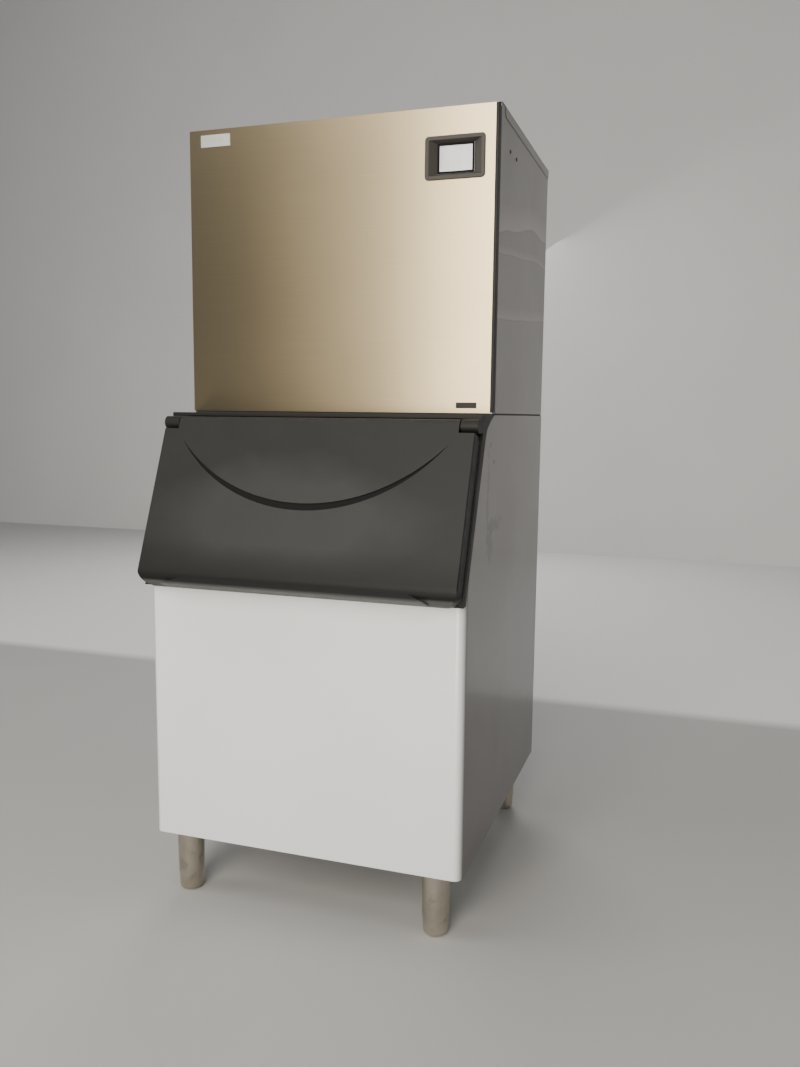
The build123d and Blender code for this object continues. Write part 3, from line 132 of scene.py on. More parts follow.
def remap(tree, value, from_low, from_high, to_low, to_high):
    """Stretch a range of values to another range, held at its ends."""
    node = add_node(tree, "ShaderNodeMapRange", Value=value, From_Min=from_low, From_Max=from_high,
                    To_Min=to_low, To_Max=to_high)
    return node.outputs[0]


def new_finish(name, **values):
    """Start a material and return its tree, its main shader and its object coordinates."""
    finish = bpy.data.materials.new(name)
    finish.use_nodes = True
    tree = finish.node_tree
    shader = next(n for n in tree.nodes if n.type == "BSDF_PRINCIPLED")
    for key, value in values.items():
        shader.inputs[key.replace("_", " ")].default_value = value
    place = tree.nodes.new("ShaderNodeTexCoord").outputs["Object"]
    return finish, tree, shader, place


def new_group(name, takes, gives):
    """Start a node group with named number inputs, a Place input and named number outputs."""
    tree = bpy.data.node_groups.new(name, "ShaderNodeTree")
    tree.interface.new_socket("Place", in_out="INPUT", socket_type="NodeSocketVector")
    for socket_name, value in takes.items():
        kind = "NodeSocketVector" if isinstance(value, tuple) else "NodeSocketFloat"
        made = tree.interface.new_socket(socket_name, in_out="INPUT", socket_type=kind)
        made.default_value = value
    for socket_name in gives:
        tree.interface.new_socket(socket_name, in_out="OUTPUT", socket_type="NodeSocketFloat")
    inside = tree.nodes.new("NodeGroupInput").outputs
    outside = tree.nodes.new("NodeGroupOutput").inputs
    return tree, inside, outside


def use_group(tree, group, place, **values):
    """Place a group in a tree with its own values and return its outputs."""
    node = tree.nodes.new("ShaderNodeGroup")
    node.node_tree = group
    tree.links.new(place, node.inputs["Place"])
    for name, value in values.items():
        socket = node.inputs[name.replace("_", " ")]
        if isinstance(value, bpy.types.NodeSocket):
            tree.links.new(value, socket)
        else:
            socket.default_value = value
    return node.outputs


print("helpers ready")

# %% [markdown]
# ## Shared effects
# **Brushed lines.** Steel sheet is ground with a belt, so it has fine scratches that run one way.
# Noise that is squeezed across the grain and stretched along it gives just that. An image of
# scratches would do it too, but it would need a file, and its scale would be fixed.

# %% Group: brushed lines
brushed_lines, given, result = new_group(
    "brushed_lines", {"Along": 3.0, "Across": 900.0}, ["Lines", "Streaks"])
parts = brushed_lines.nodes.new("ShaderNodeSeparateXYZ")
brushed_lines.links.new(given["Place"], parts.inputs[0])
level_x = math_of(brushed_lines, "MULTIPLY", parts.outputs[0], given["Along"])
level_y = math_of(brushed_lines, "MULTIPLY", parts.outputs[1], given["Along"])
level_z = math_of(brushed_lines, "MULTIPLY", parts.outputs[2], given["Across"])
squeezed = add_node(brushed_lines, "ShaderNodeCombineXYZ", X=level_x, Y=level_y, Z=level_z)
fine = add_node(brushed_lines, "ShaderNodeTexNoise", Vector=squeezed.outputs[0], Scale=1.0, Detail=3.0)
wide_scale = add_node(brushed_lines, "ShaderNodeVectorMath", {"operation": "SCALE"},
                      Vector=squeezed.outputs[0], Scale=0.13)
wide = add_node(brushed_lines, "ShaderNodeTexNoise", Vector=wide_scale.outputs[0], Scale=1.0, Detail=2.0)
brushed_lines.links.new(fine.outputs[0], result["Lines"])
brushed_lines.links.new(wide.outputs[0], result["Streaks"])
print("group", brushed_lines.name)

# %% [markdown]
# **Pebbled skin.** The black plastic has a fine moulded texture, like very small leather. Voronoi
# cells with softened edges, roughened by finer noise, read as moulded. Noise alone looks sandy.

# %% Group: pebbled skin
pebbled_skin, given, result = new_group("pebbled_skin", {"Size": 0.0012}, ["Height"])
per_metre = math_of(pebbled_skin, "DIVIDE", 1.0, given["Size"])
cells = add_node(pebbled_skin, "ShaderNodeTexVoronoi", {"feature": "SMOOTH_F1"},
                 Vector=given["Place"], Scale=per_metre, Smoothness=0.6)
finer = math_of(pebbled_skin, "MULTIPLY", per_metre, 2.3)
grain = add_node(pebbled_skin, "ShaderNodeTexNoise", Vector=given["Place"], Scale=finer, Detail=1.0)
both = math_of(pebbled_skin, "ADD", cells.outputs[0], grain.outputs[0])
pebbled_skin.links.new(both, result["Height"])
print("group", pebbled_skin.name)

# %% [markdown]
# **Clouding.** Nothing that stands in a workshop is evenly clean. Large soft noise, cut to a chosen
# range, gives the cloudy patches left by handling and wiping.

# %% Group: clouding
clouding, given, result = new_group("clouding", {"Scale": 4.0, "Low": 0.35, "High": 0.7}, ["Mask"])
cloud = add_node(clouding, "ShaderNodeTexNoise", Vector=given["Place"], Scale=given["Scale"],
                 Detail=4.0, Roughness=0.55, Distortion=0.4)
clouding.links.new(remap(clouding, cloud.outputs[0], given["Low"], given["High"], 0.0, 1.0), result["Mask"])
print("group", clouding.name)

# %% [markdown]
# **Settled dust.** Dust falls, so it stays on faces that look up. The height part of the surface
# normal says how much a face looks up, and noise breaks the dust into patches.

# %% Group: settled dust
settled_dust, given, result = new_group("settled_dust", {"Scale": 40.0}, ["Mask"])
facing = settled_dust.nodes.new("ShaderNodeNewGeometry")
facing_parts = settled_dust.nodes.new("ShaderNodeSeparateXYZ")
settled_dust.links.new(facing.outputs["Normal"], facing_parts.inputs[0])
upward = remap(settled_dust, facing_parts.outputs[2], 0.35, 1.0, 0.0, 1.0)
specks = add_node(settled_dust, "ShaderNodeTexNoise", Vector=given["Place"], Scale=given["Scale"],
                  Detail=5.0, Roughness=0.7)
patches = remap(settled_dust, specks.outputs[0], 0.35, 0.75, 0.2, 1.0)
settled_dust.links.new(math_of(settled_dust, "MULTIPLY", upward, patches), result["Mask"])
print("group", settled_dust.name)

# %% [markdown]
# **Mark.** A smudge or stain sits at one place. Its mask is an ellipsoid round a centre, with its
# border pushed about by noise so that it doesn't look stamped.

# %% Group: mark
mark, given, result = new_group(
    "mark", {"Centre": (0.0, 0.0, 0.0), "Radii": (0.1, 0.1, 0.1), "Ragged": 0.5, "Scale": 25.0}, ["Mask"])
away = add_node(mark, "ShaderNodeVectorMath", {"operation": "SUBTRACT"})
mark.links.new(given["Place"], away.inputs[0])
mark.links.new(given["Centre"], away.inputs[1])
shrunk = add_node(mark, "ShaderNodeVectorMath", {"operation": "DIVIDE"})
mark.links.new(away.outputs[0], shrunk.inputs[0])
mark.links.new(given["Radii"], shrunk.inputs[1])
reach = add_node(mark, "ShaderNodeVectorMath", {"operation": "LENGTH"})
mark.links.new(shrunk.outputs[0], reach.inputs[0])
rough_edge = add_node(mark, "ShaderNodeTexNoise", Vector=given["Place"], Scale=given["Scale"], Detail=4.0)
centred = math_of(mark, "SUBTRACT", rough_edge.outputs[0], 0.5)
pushed = math_of(mark, "MULTIPLY_ADD", centred, given["Ragged"], reach.outputs["Value"])
mark.links.new(remap(mark, pushed, 0.55, 1.0, 1.0, 0.0), result["Mask"])
print("group", mark.name)

# %% [markdown]
# ## Stainless steel
# The front of the head is ground stainless sheet. Its reflections smear across the grain, which
# anisotropy does without any geometry. The grain runs level, so the smear is upright, and the front
# shows soft upright bands of the room. The lines also change colour and gloss a little.

# %% Finish: stainless steel
def bump_on(tree, shader, height, distance, strength=1.0):
    """Feed a height into the shader's normal through a bump node."""
    bump = add_node(tree, "ShaderNodeBump", Height=height, Strength=strength, Distance=distance)
    tree.links.new(bump.outputs[0], shader.inputs["Normal"])


def steel_finish(name, colour, dark, roughness, along, smear):
    """Make a brushed steel with level grain."""
    finish, tree, shader, place = new_finish(name, Metallic=1.0, Anisotropic=smear,
                                             Anisotropic_Rotation=0.25)
    lines = use_group(tree, brushed_lines, place, Along=along, Across=1400.0)
    cloudy = use_group(tree, clouding, place, Scale=2.5, Low=0.3, High=0.75)
    amount = remap(tree, lines["Lines"], 0.25, 0.75, 0.0, 1.0)
    streaked = math_of(tree, "MULTIPLY_ADD", lines["Streaks"], 0.3, math_of(tree, "MULTIPLY", amount, 0.7))
    tree.links.new(blend_of(tree, streaked, dark, colour), shader.inputs["Base Color"])
    gloss = remap(tree, streaked, 0.0, 1.0, roughness - 0.01, roughness + 0.01)
    wipe_and_painted_light = math_of(tree, "MULTIPLY_ADD", cloudy["Mask"], 0.04, gloss)
    tree.links.new(wipe_and_painted_light, shader.inputs["Roughness"])
    bump_on(tree, shader, lines["Lines"], 0.00001, 0.4)
    tangent = tree.nodes.new("ShaderNodeTangent")
    tangent.direction_type, tangent.axis = "RADIAL", "Z"
    tree.links.new(tangent.outputs[0], shader.inputs["Tangent"])
    return finish


steel_front = steel_finish("steel_front", (0.50, 0.405, 0.250, 1), (0.44, 0.355, 0.215, 1), 0.31, 5.0, 0.8)
print("made", steel_front.name)

# %% [markdown]
# ## Black plastic
# The door, its frame and the display's bezel are black ABS with a fine moulded skin. It is really a
# very dark warm grey. Dust and wiping have left it paler and a little duller in cloudy patches.

# %% Finish: black plastic
def plastic_finish(name, colour, pale, roughness, size, depth):
    """Make a moulded plastic with a pebbled skin, wiping clouds and dust."""
    finish, tree, shader, place = new_finish(name, Specular_IOR_Level=0.22)
    skin = use_group(tree, pebbled_skin, place, Size=size)
    cloudy = use_group(tree, clouding, place, Scale=5.0, Low=0.35, High=0.75)
    dusty = use_group(tree, settled_dust, place, Scale=60.0)
    base = blend_of(tree, math_of(tree, "MULTIPLY", cloudy["Mask"], 0.6), colour, pale)
    dusted = blend_of(tree, math_of(tree, "MULTIPLY", dusty["Mask"], 0.08), base, (0.30, 0.29, 0.28, 1))
    tree.links.new(dusted, shader.inputs["Base Color"])
    tree.links.new(remap(tree, cloudy["Mask"], 0.0, 1.0, roughness - 0.04, roughness + 0.08),
                   shader.inputs["Roughness"])
    bump_on(tree, shader, skin["Height"], depth)
    return finish, tree, shader, place, dusted


black_plastic, *_ = plastic_finish("black_plastic", (0.008, 0.007, 0.006, 1), (0.016, 0.015, 0.014, 1),
                                   0.5, 0.0012, 0.00008)
bezel_plastic, *_ = plastic_finish("bezel_plastic", (0.040, 0.036, 0.032, 1), (0.056, 0.051, 0.046, 1),
                                   0.42, 0.0009, 0.00005)
# This near black finish paints the shade in the door's groove; it is also the real black rim round the
# screen.
groove_shade_and_rim_black, tree, shader, *_ = plastic_finish(
    "groove_shade_and_rim_black", (0.008, 0.008, 0.0085, 1), (0.011, 0.011, 0.0115, 1), 0.7, 0.0010, 0.00003)
shader.inputs["Specular IOR Level"].default_value = 0.08
print("made", black_plastic.name, bezel_plastic.name, groove_shade_and_rim_black.name)

# %% [markdown]
# The door gets its own version, because its broad face shows the most. Its middle is painted paler,
# as painted light on the open face, and the roll at its bottom is painted near black, as painted
# shade where the face turns down out of the light. The lip under it is painted paler, as a painted
# highlight where its face catches the light from above.

# %% Finish: door plastic
door_plastic, tree, shader, place, base = plastic_finish(
    "door_plastic", (0.014, 0.0145, 0.0142, 1), (0.023, 0.0235, 0.0228, 1), 0.5, 0.0014, 0.00012)
door_low, door_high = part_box("door_skin")
door_centre = (door_low + door_high) / 2
# Painted light: a paler cloud over the middle of the door's face.
wipe_and_painted_light = use_group(tree, mark, place, Centre=tuple(door_centre + Vector((-0.03, 0, -0.03))),
                  Radii=(0.36, 0.4, 0.15), Ragged=0.9, Scale=5.0)
middle_light_grey, lip_highlight_grey = (0.048, 0.049, 0.048, 1), (0.075, 0.075, 0.072, 1)
roll_shade_black = (0.007, 0.007, 0.0065, 1)
face_colour = blend_of(tree, math_of(tree, "MULTIPLY", wipe_and_painted_light["Mask"], 0.45), base, middle_light_grey)
height = tree.nodes.new("ShaderNodeSeparateXYZ")
tree.links.new(place, height.inputs[0])
# Painted shade: the colour darkens to near black down the bottom roll, which turns away from the light.
roll_shade = remap(tree, height.outputs[2], door_low.z + 0.03, door_low.z + 0.11, 1.0, 0.0)
face_colour = blend_of(tree, roll_shade, face_colour, roll_shade_black)
# Painted highlight: the lip's band is paler where it catches the light from above.
lip_highlight = remap(tree, height.outputs[2], door_low.z + 0.016, door_low.z + 0.022, 1.0, 0.0)
tree.links.new(blend_of(tree, lip_highlight, face_colour, lip_highlight_grey), shader.inputs["Base Color"])
print("made", door_plastic.name)

# %% [markdown]
# ## Paint
# The bin's wrap and the head's side panels are painted steel. Paint has a slow waviness that only
# shows in reflections, so it is a broad, very shallow bump. A thin clear coat gives the gloss.

# %% Finish: white paint
def paint_finish(name, colour, roughness, wave, coat):
    """Make a sprayed paint with slow waviness, fine orange peel and dust."""
    finish, tree, shader, place = new_finish(name, Coat_Weight=coat, Coat_Roughness=0.06)
    cloudy = use_group(tree, clouding, place, Scale=3.0, Low=0.3, High=0.8)
    dusty = use_group(tree, settled_dust, place, Scale=30.0)
    tired = tuple(channel * 0.93 for channel in colour[:3]) + (1,)
    base = blend_of(tree, cloudy["Mask"], colour, tired)
    dusted = blend_of(tree, math_of(tree, "MULTIPLY", dusty["Mask"], 0.3), base, (0.42, 0.40, 0.36, 1))
    tree.links.new(dusted, shader.inputs["Base Color"])
    tree.links.new(remap(tree, cloudy["Mask"], 0.0, 1.0, roughness, roughness + 0.06),
                   shader.inputs["Roughness"])
    peel = add_node(tree, "ShaderNodeTexNoise", Vector=place, Scale=260.0, Detail=1.0)
    slow = add_node(tree, "ShaderNodeTexNoise", Vector=place, Scale=2.2, Detail=1.0)
    waves = math_of(tree, "MULTIPLY", slow.outputs[0], wave)
    height = math_of(tree, "MULTIPLY_ADD", peel.outputs[0], 0.006, waves)
    bump_on(tree, shader, height, 0.001)
    return finish, tree, shader, place, dusted


grey, grey_low = (0.110, 0.101, 0.100, 1), (0.096, 0.088, 0.087, 1)
white_paint, tree, shader, place, base = paint_finish("white_paint", (0.74, 0.76, 0.765, 1), 0.3, 0.6, 0.25)
print("made", white_paint.name)

# %% [markdown]
# The wrap is one folded sheet. Its front kept a white film, and its sides are grey, and the two
# meet on the round upright corners. The grey is partly paint like the head's grey panels and partly
# painted shade of the sides, which get less light than the front. How far back a point lies tells
# which it is. The grey side has some green-grey smudges near the door and two dark specks, each a
# mark at its own place.

# %% Finish: the wrap's sides
wrap_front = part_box("bin_wrap")[0].y
depth = tree.nodes.new("ShaderNodeSeparateXYZ")
tree.links.new(place, depth.inputs[0])
sideways = remap(tree, depth.outputs[1], wrap_front + 0.001, wrap_front + 0.017, 0.0, 1.0)
side_cloud = use_group(tree, clouding, place, Scale=3.5, Low=0.3, High=0.8)
# The sides' grey is partly their paint and partly painted shade, as they get less light than the front.
two_tone_and_shade = blend_of(tree, sideways, base, blend_of(tree, side_cloud["Mask"], grey, grey_low))
side, reach_in, speck = 0.38, 0.02, (0.012, 0.012, 0.010, 1)
smudges = (((-0.150, 0.905), (0.085, 0.018), 2.4, (0.016, 0.030, 0.013, 1)),
           ((-0.190, 0.870), (0.030, 0.050), 2.6, (0.020, 0.034, 0.016, 1)),
           ((-0.215, 0.960), (0.012, 0.110), 2.8, (0.028, 0.034, 0.024, 1)),
           ((-0.160, 1.052), (0.016, 0.007), 2.0, speck),
           ((-0.200, 1.090), (0.010, 0.007), 2.0, speck))
for centre, radii, ragged, colour in smudges:
    smudge = use_group(tree, mark, place, Centre=(side, *centre), Radii=(reach_in, *radii),
                       Ragged=ragged, Scale=60.0)
    two_tone_and_shade = blend_of(tree, math_of(tree, "MULTIPLY", smudge["Mask"], 0.75), two_tone_and_shade, colour)
tree.links.new(two_tone_and_shade, shader.inputs["Base Color"])
print("marks on the wrap", len(smudges))

# %% [markdown]
# The head's grey sides still carry a thin clear film that has lifted. Each edge of it is a thin dark
# line that sways a little, with a pale pinkish band above it where the light catches the fold. A
# painted line would need an image, so noise pushes a level line up and down instead.

# %% Group: film edge
film_edge, given, result = new_group(
    "film_edge", {"Height": 1.5, "Sway": 0.03, "Tilt": 0.0, "Band": 0.02}, ["Line", "Glow"])
parts = film_edge.nodes.new("ShaderNodeSeparateXYZ")
film_edge.links.new(given["Place"], parts.inputs[0])
sway = add_node(film_edge, "ShaderNodeTexNoise", {"noise_dimensions": "1D"},
                W=math_of(film_edge, "ADD", parts.outputs[1], given["Height"]), Scale=1.7, Detail=1.0)
pushed = math_of(film_edge, "MULTIPLY", math_of(film_edge, "SUBTRACT", sway.outputs[0], 0.5), given["Sway"])
tilted = math_of(film_edge, "MULTIPLY_ADD", parts.outputs[1], given["Tilt"], pushed)
line_height = math_of(film_edge, "ADD", tilted, given["Height"])
above = math_of(film_edge, "SUBTRACT", parts.outputs[2], line_height)
film_edge.links.new(remap(film_edge, math_of(film_edge, "ABSOLUTE", above), 0.0008, 0.0030, 1.0, 0.0),
                    result["Line"])
fade = remap(film_edge, math_of(film_edge, "DIVIDE", above, given["Band"]), 0.0, 1.0, 1.0, 0.0)
inside = math_of(film_edge, "GREATER_THAN", above, 0.0)
film_edge.links.new(math_of(film_edge, "MULTIPLY", fade, inside), result["Glow"])
print("group", film_edge.name)

# %% Finish: side paint
side_paint, tree, shader, place, base = paint_finish("side_paint", grey, 0.3, 0.5, 0.25)
film_pink, film_shadow = (0.27, 0.22, 0.215, 1), (0.055, 0.050, 0.050, 1)
filmed = base
for height, sway_by, tilt, band, strength in (
        (1.595, 0.16, 0.16, 0.060, 0.9), (1.535, 0.08, 0.09, 0.020, 0.6), (1.385, 0.04, 0.08, 0.030, 0.6)):
    edge = use_group(tree, film_edge, place, Height=height, Sway=sway_by, Tilt=tilt, Band=band)
    filmed = blend_of(tree, math_of(tree, "MULTIPLY", edge["Glow"], strength), filmed, film_pink)
    filmed = blend_of(tree, math_of(tree, "MULTIPLY", edge["Line"], 0.5), filmed, film_shadow)
tree.links.new(filmed, shader.inputs["Base Color"])
print("made", side_paint.name)

# %% [markdown]
# ## Plain metals and small finishes
# Zinc coated sheet has a spangle of crystals, which Voronoi cells with a random grey each give well.
# Copper darkens in patches, and brass is cast and a little rough. The legs are stainless tube with
# dull stains, and the screws are blackened. Rubber, foam, liner plastic and board lacquer differ in
# colour, gloss and grain, so one maker takes those as values.

# %% Finish: zinc, copper, brass and the steel of the legs
def metal_finish(name, colour, dark, roughness, scale, rough_grain=0.00003):
    """Make a bare metal with tarnish clouds and fine scratches."""
    finish, tree, shader, place = new_finish(name, Metallic=1.0)
    cloudy = use_group(tree, clouding, place, Scale=scale, Low=0.3, High=0.7)
    lines = use_group(tree, brushed_lines, place, Along=40.0, Across=300.0)
    mixed = blend_of(tree, cloudy["Mask"], colour, dark)
    tree.links.new(mixed, shader.inputs["Base Color"])
    rough = remap(tree, lines["Lines"], 0.2, 0.8, roughness - 0.06, roughness + 0.06)
    tree.links.new(math_of(tree, "MULTIPLY_ADD", cloudy["Mask"], 0.1, rough), shader.inputs["Roughness"])
    bump_on(tree, shader, lines["Lines"], rough_grain)
    return finish, tree, shader, place


zinc, tree, shader, place = metal_finish("zinc", (0.56, 0.57, 0.58, 1), (0.46, 0.47, 0.48, 1), 0.38, 9.0)
spangle = add_node(tree, "ShaderNodeTexVoronoi", Vector=place, Scale=70.0)
flake = add_node(tree, "ShaderNodeHueSaturation", Color=spangle.outputs["Color"], Saturation=0.0)
base = shader.inputs["Base Color"].links[0].from_socket
tree.links.new(blend_of(tree, 0.12, base, flake.outputs[0], "OVERLAY"), shader.inputs["Base Color"])
copper, *_ = metal_finish("copper", (0.80, 0.43, 0.27, 1), (0.52, 0.25, 0.15, 1), 0.28, 20.0)
brass, *_ = metal_finish("brass", (0.72, 0.56, 0.28, 1), (0.55, 0.41, 0.20, 1), 0.30, 30.0)
dark_steel, *_ = metal_finish("dark_steel", (0.20, 0.19, 0.18, 1), (0.12, 0.115, 0.11, 1), 0.4, 60.0)
fin_metal, *_ = metal_finish("fin_metal", (0.66, 0.67, 0.68, 1), (0.52, 0.53, 0.54, 1), 0.34, 12.0)
black_steel, *_ = metal_finish("black_steel", (0.05, 0.047, 0.045, 1), (0.03, 0.028, 0.027, 1), 0.45, 60.0)
steel_legs, tree, shader, place = metal_finish(
    "steel_legs", (0.62, 0.57, 0.48, 1), (0.44, 0.40, 0.33, 1), 0.14, 9.0, 0.000002)
splashed = add_node(tree, "ShaderNodeTexNoise", Vector=place, Scale=38.0, Detail=3.0)
stain = remap(tree, splashed.outputs[0], 0.58, 0.66, 0.0, 0.45)
base = shader.inputs["Base Color"].links[0].from_socket
tree.links.new(blend_of(tree, stain, base, (0.30, 0.27, 0.22, 1)), shader.inputs["Base Color"])
print("made", *(m.name for m in (zinc, copper, brass, dark_steel, fin_metal, black_steel, steel_legs)))

# %% Finish: rubber, foam, liner and the rest
def soft_finish(name, colour, roughness, size, depth, shift=0.86, **values):
    """Make a plain moulded or cast finish with its own grain and slight clouding."""
    finish, tree, shader, place = new_finish(name, **values)
    cloudy = use_group(tree, clouding, place, Scale=8.0, Low=0.3, High=0.75)
    skin = use_group(tree, pebbled_skin, place, Size=size)
    dusty = use_group(tree, settled_dust, place, Scale=70.0)
    other = tuple(channel * shift for channel in colour[:3]) + (1,)
    base = blend_of(tree, cloudy["Mask"], colour, other)
    dusted = blend_of(tree, math_of(tree, "MULTIPLY", dusty["Mask"], 0.12), base, (0.40, 0.38, 0.35, 1))
    tree.links.new(dusted, shader.inputs["Base Color"])
    tree.links.new(remap(tree, cloudy["Mask"], 0.0, 1.0, roughness, roughness + 0.08),
                   shader.inputs["Roughness"])
    bump_on(tree, shader, skin["Height"], depth)
    return finish


liner_plastic = soft_finish("liner_plastic", (0.78, 0.79, 0.79, 1), 0.32, 0.002, 0.00004, 0.95,
                            Subsurface_Weight=0.05, Subsurface_Scale=0.004)
rubber = soft_finish("rubber", (0.018, 0.018, 0.018, 1), 0.65, 0.0008, 0.00005, 1.4)
foam = soft_finish("foam", (0.76, 0.72, 0.60, 1), 0.85, 0.0025, 0.0005, 0.88)
clear_hose = soft_finish("clear_hose", (0.62, 0.64, 0.64, 1), 0.25, 0.003, 0.00002, 0.92, Coat_Weight=0.3)
enamel = soft_finish("enamel", (0.016, 0.016, 0.018, 1), 0.22, 0.0015, 0.00002, 1.5, Coat_Weight=0.6)
board_lacquer = soft_finish("board_lacquer", (0.02, 0.13, 0.06, 1), 0.3, 0.002, 0.00003, 0.7, Coat_Weight=0.4)
float_white = soft_finish("float_white", (0.75, 0.74, 0.70, 1), 0.6, 0.0015, 0.0002, 0.93)
tag_black = soft_finish("tag_black", (0.012, 0.010, 0.009, 1), 0.4, 0.001, 0.00001, 1.3,
                        Specular_IOR_Level=0.2)
plate_silver, *_ = metal_finish("plate_silver", (0.60, 0.615, 0.59, 1), (0.50, 0.51, 0.49, 1), 0.42, 14.0)
print("made", *(m.name for m in (liner_plastic, rubber, foam, clear_hose, enamel, board_lacquer,
                                 float_white, tag_black, plate_silver)))

# %% [markdown]
# ## Screen
# The display is off and covered by a pale lilac film, which reflects a little. It is a smooth
# coated plastic with faint clouds. It is no light source, so it has no emission.

# %% Finish: screen
screen, tree, shader, place = new_finish("screen", Roughness=0.18, Coat_Weight=0.5, Coat_Roughness=0.05)
haze = use_group(tree, clouding, place, Scale=28.0, Low=0.35, High=0.7)
tree.links.new(blend_of(tree, haze["Mask"], (0.66, 0.64, 0.67, 1), (0.56, 0.54, 0.59, 1)),
               shader.inputs["Base Color"])
print("made", screen.name)

# %% [markdown]
# ## Give every node its finish
# Each node is named once, by itself or with others that share its finish. The last loop runs over
# the frame's own nodes, so one that is forgotten stops the script.

# %% Finishes of the nodes
finishes = {
    "bin_wrap": white_paint, "side_panel_left": side_paint, "side_panel_right": side_paint,
    "top_cover": side_paint, "front_panel": steel_front, "door_skin": door_plastic,
    "name_plate": plate_silver, "panel_tag": tag_black, "display_screen": screen,
    "side_screws": black_steel, "hinge_pins": dark_steel, "condenser": fin_metal,
    "evaporator_plate": copper, "evaporator_coil": copper, "refrigerant_lines": copper,
    "filter_drier": copper, "inlet_valve": brass, "level_float": float_white,
    "compressor": enamel, "circuit_board": board_lacquer, "water_hoses": clear_hose,
    "display_bezel": bezel_plastic}
groups_of_nodes = (
    (zinc, ("bin_base", "bin_rear_panel", "head_base", "head_posts", "rear_panel", "partition",
            "control_box", "fan_shroud")),
    (foam, ("bin_insulation", "door_insulation")),
    (liner_plastic, ("bin_liner", "door_liner", "evaporator_frame", "water_curtain", "water_trough",
                     "ice_guide", "water_distributor")),
    (black_plastic, ("door_frame", "front_frame", "bin_drain", "trough_drain", "water_pump",
                     "cable_gland", "fan", "fan_motor", "float_switch")),
    (rubber, ("bin_top_gasket", "door_gasket", "compressor_mounts")),
    (steel_legs, [name for name in nodes if name.startswith(("leg_", "foot_"))]))
for finish, names in groups_of_nodes:
    for name in names:
        finishes[name] = finish
for name, node in nodes.items():
    node.data.materials.clear()
    node.data.materials.append(finishes[name])
print("finishes given to", len(finishes), "nodes")

# %% [markdown]
# ## Soften the sheet metal
# Folded sheet and moulded plastic have small round edges that catch a line of light, and a plain
# solid's are razor sharp. Each outer piece is therefore copied, its loose triangles are merged and
# joined to whole faces, and its sharp edges get a narrow bevel. Smooth shading would bend the light on
# the wide flat faces near such a bevel, so the normals are weighted by face area, which keeps them flat.
# The copy then stands for the node.

# %% Helper: softened copy
merge_within, flat_within = 0.00002, radians(0.4)
bevel_from, smooth_below = radians(30.0), radians(35)


def only(piece):
    """Select one piece and make it active."""
    bpy.ops.object.select_all(action="DESELECT")
    piece.select_set(True)
    bpy.context.view_layer.objects.active = piece


def stand_for(piece, node_name):
    """Let a piece ride with a node's body, stand for the node, and carry its finish."""
    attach(piece, body_of_node[node_name])
    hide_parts(node_name)
    piece.data.materials.clear()
    piece.data.materials.append(finishes[node_name])


def merged_copy(node_name, piece_name):
    """Copy a node's mesh to a new object at the origin, with its doubles merged."""
    piece = bpy.data.objects.new(piece_name, nodes[node_name].data.copy())
    bpy.context.collection.objects.link(piece)
    only(piece)
    bpy.ops.object.mode_set(mode="EDIT")
    bpy.ops.mesh.select_all(action="SELECT")
    bpy.ops.mesh.remove_doubles(threshold=merge_within)
    bpy.ops.mesh.dissolve_limited(angle_limit=flat_within)
    bpy.ops.object.mode_set(mode="OBJECT")
    return piece


def softened(node_name, width):
    """Copy a node, bevel its sharp edges, and let the copy stand for it."""
    piece = merged_copy(node_name, "soft_" + node_name)
    rounding = piece.modifiers.new("rounding", "BEVEL")
    rounding.width, rounding.segments = width, 2
    rounding.limit_method, rounding.angle_limit = "ANGLE", bevel_from
    rounding.use_clamp_overlap = True
    bpy.ops.object.modifier_apply(modifier=rounding.name)
    bpy.ops.object.shade_smooth_by_angle(angle=smooth_below)
    flatten = piece.modifiers.new("flatten", "WEIGHTED_NORMAL")
    flatten.keep_sharp, flatten.weight = True, 100
    bpy.ops.object.modifier_apply(modifier=flatten.name)
    stand_for(piece, node_name)
    return piece


print("softening helpers ready")

# %% Soften the outer pieces
for node_name, width in (
        ("bin_wrap", 0.0004), ("side_panel_left", 0.0004), ("side_panel_right", 0.0004),
        ("top_cover", 0.0004), ("front_panel", 0.0004), ("front_frame", 0.0008),
        ("door_frame", 0.0012), ("door_skin", 0.0008), ("display_bezel", 0.0008),
        ("display_screen", 0.0005), ("name_plate", 0.0003), ("panel_tag", 0.0003)):
    piece = softened(node_name, width)
    print(piece.name, "faces", len(piece.data.polygons))

# %% [markdown]
# ## The door's groove
# The crescent groove is painted almost black, as painted shade in its recess. Its floor is a face of
# the softened door, set back from the front, so those faces are found by their depth and get their own
# finish.

# %% Darken the groove
door = bpy.data.objects["soft_door_skin"]
door.data.materials.append(groove_shade_and_rim_black)
slope = radians(21.7)
groove_depth, groove_span, groove_reach = (0.0115, 0.01485), (-0.21, -0.045), 0.325
outwards = Vector((0, -cos(slope), sin(slope)))
uphill = Vector((0, sin(slope), cos(slope)))
pin_low, pin_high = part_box("hinge_pins")
hinge = (pin_low + pin_high) / 2
dark_faces = 0
# Faces on the groove's floor get the near black finish, which is painted shade in the recess.
for face in door.data.polygons:
    out = (face.center - hinge).dot(outwards)
    along = (face.center - hinge).dot(uphill)
    deep = groove_depth[0] < out < groove_depth[1]
    if deep and groove_span[0] < along < groove_span[1] and abs(face.center.x) < groove_reach:
        face.material_index = 1
        dark_faces += 1
print("groove faces", dark_faces)

# %% [markdown]
# ## Dark rim round the screen
# The glass sits in a thin black rim that is a little lower than the bezel. An upright plane is scaled
# to the window, its face is inset and the middle deleted, and the ring that is left is pulled forward
# into a frame, so the screen shows through it.

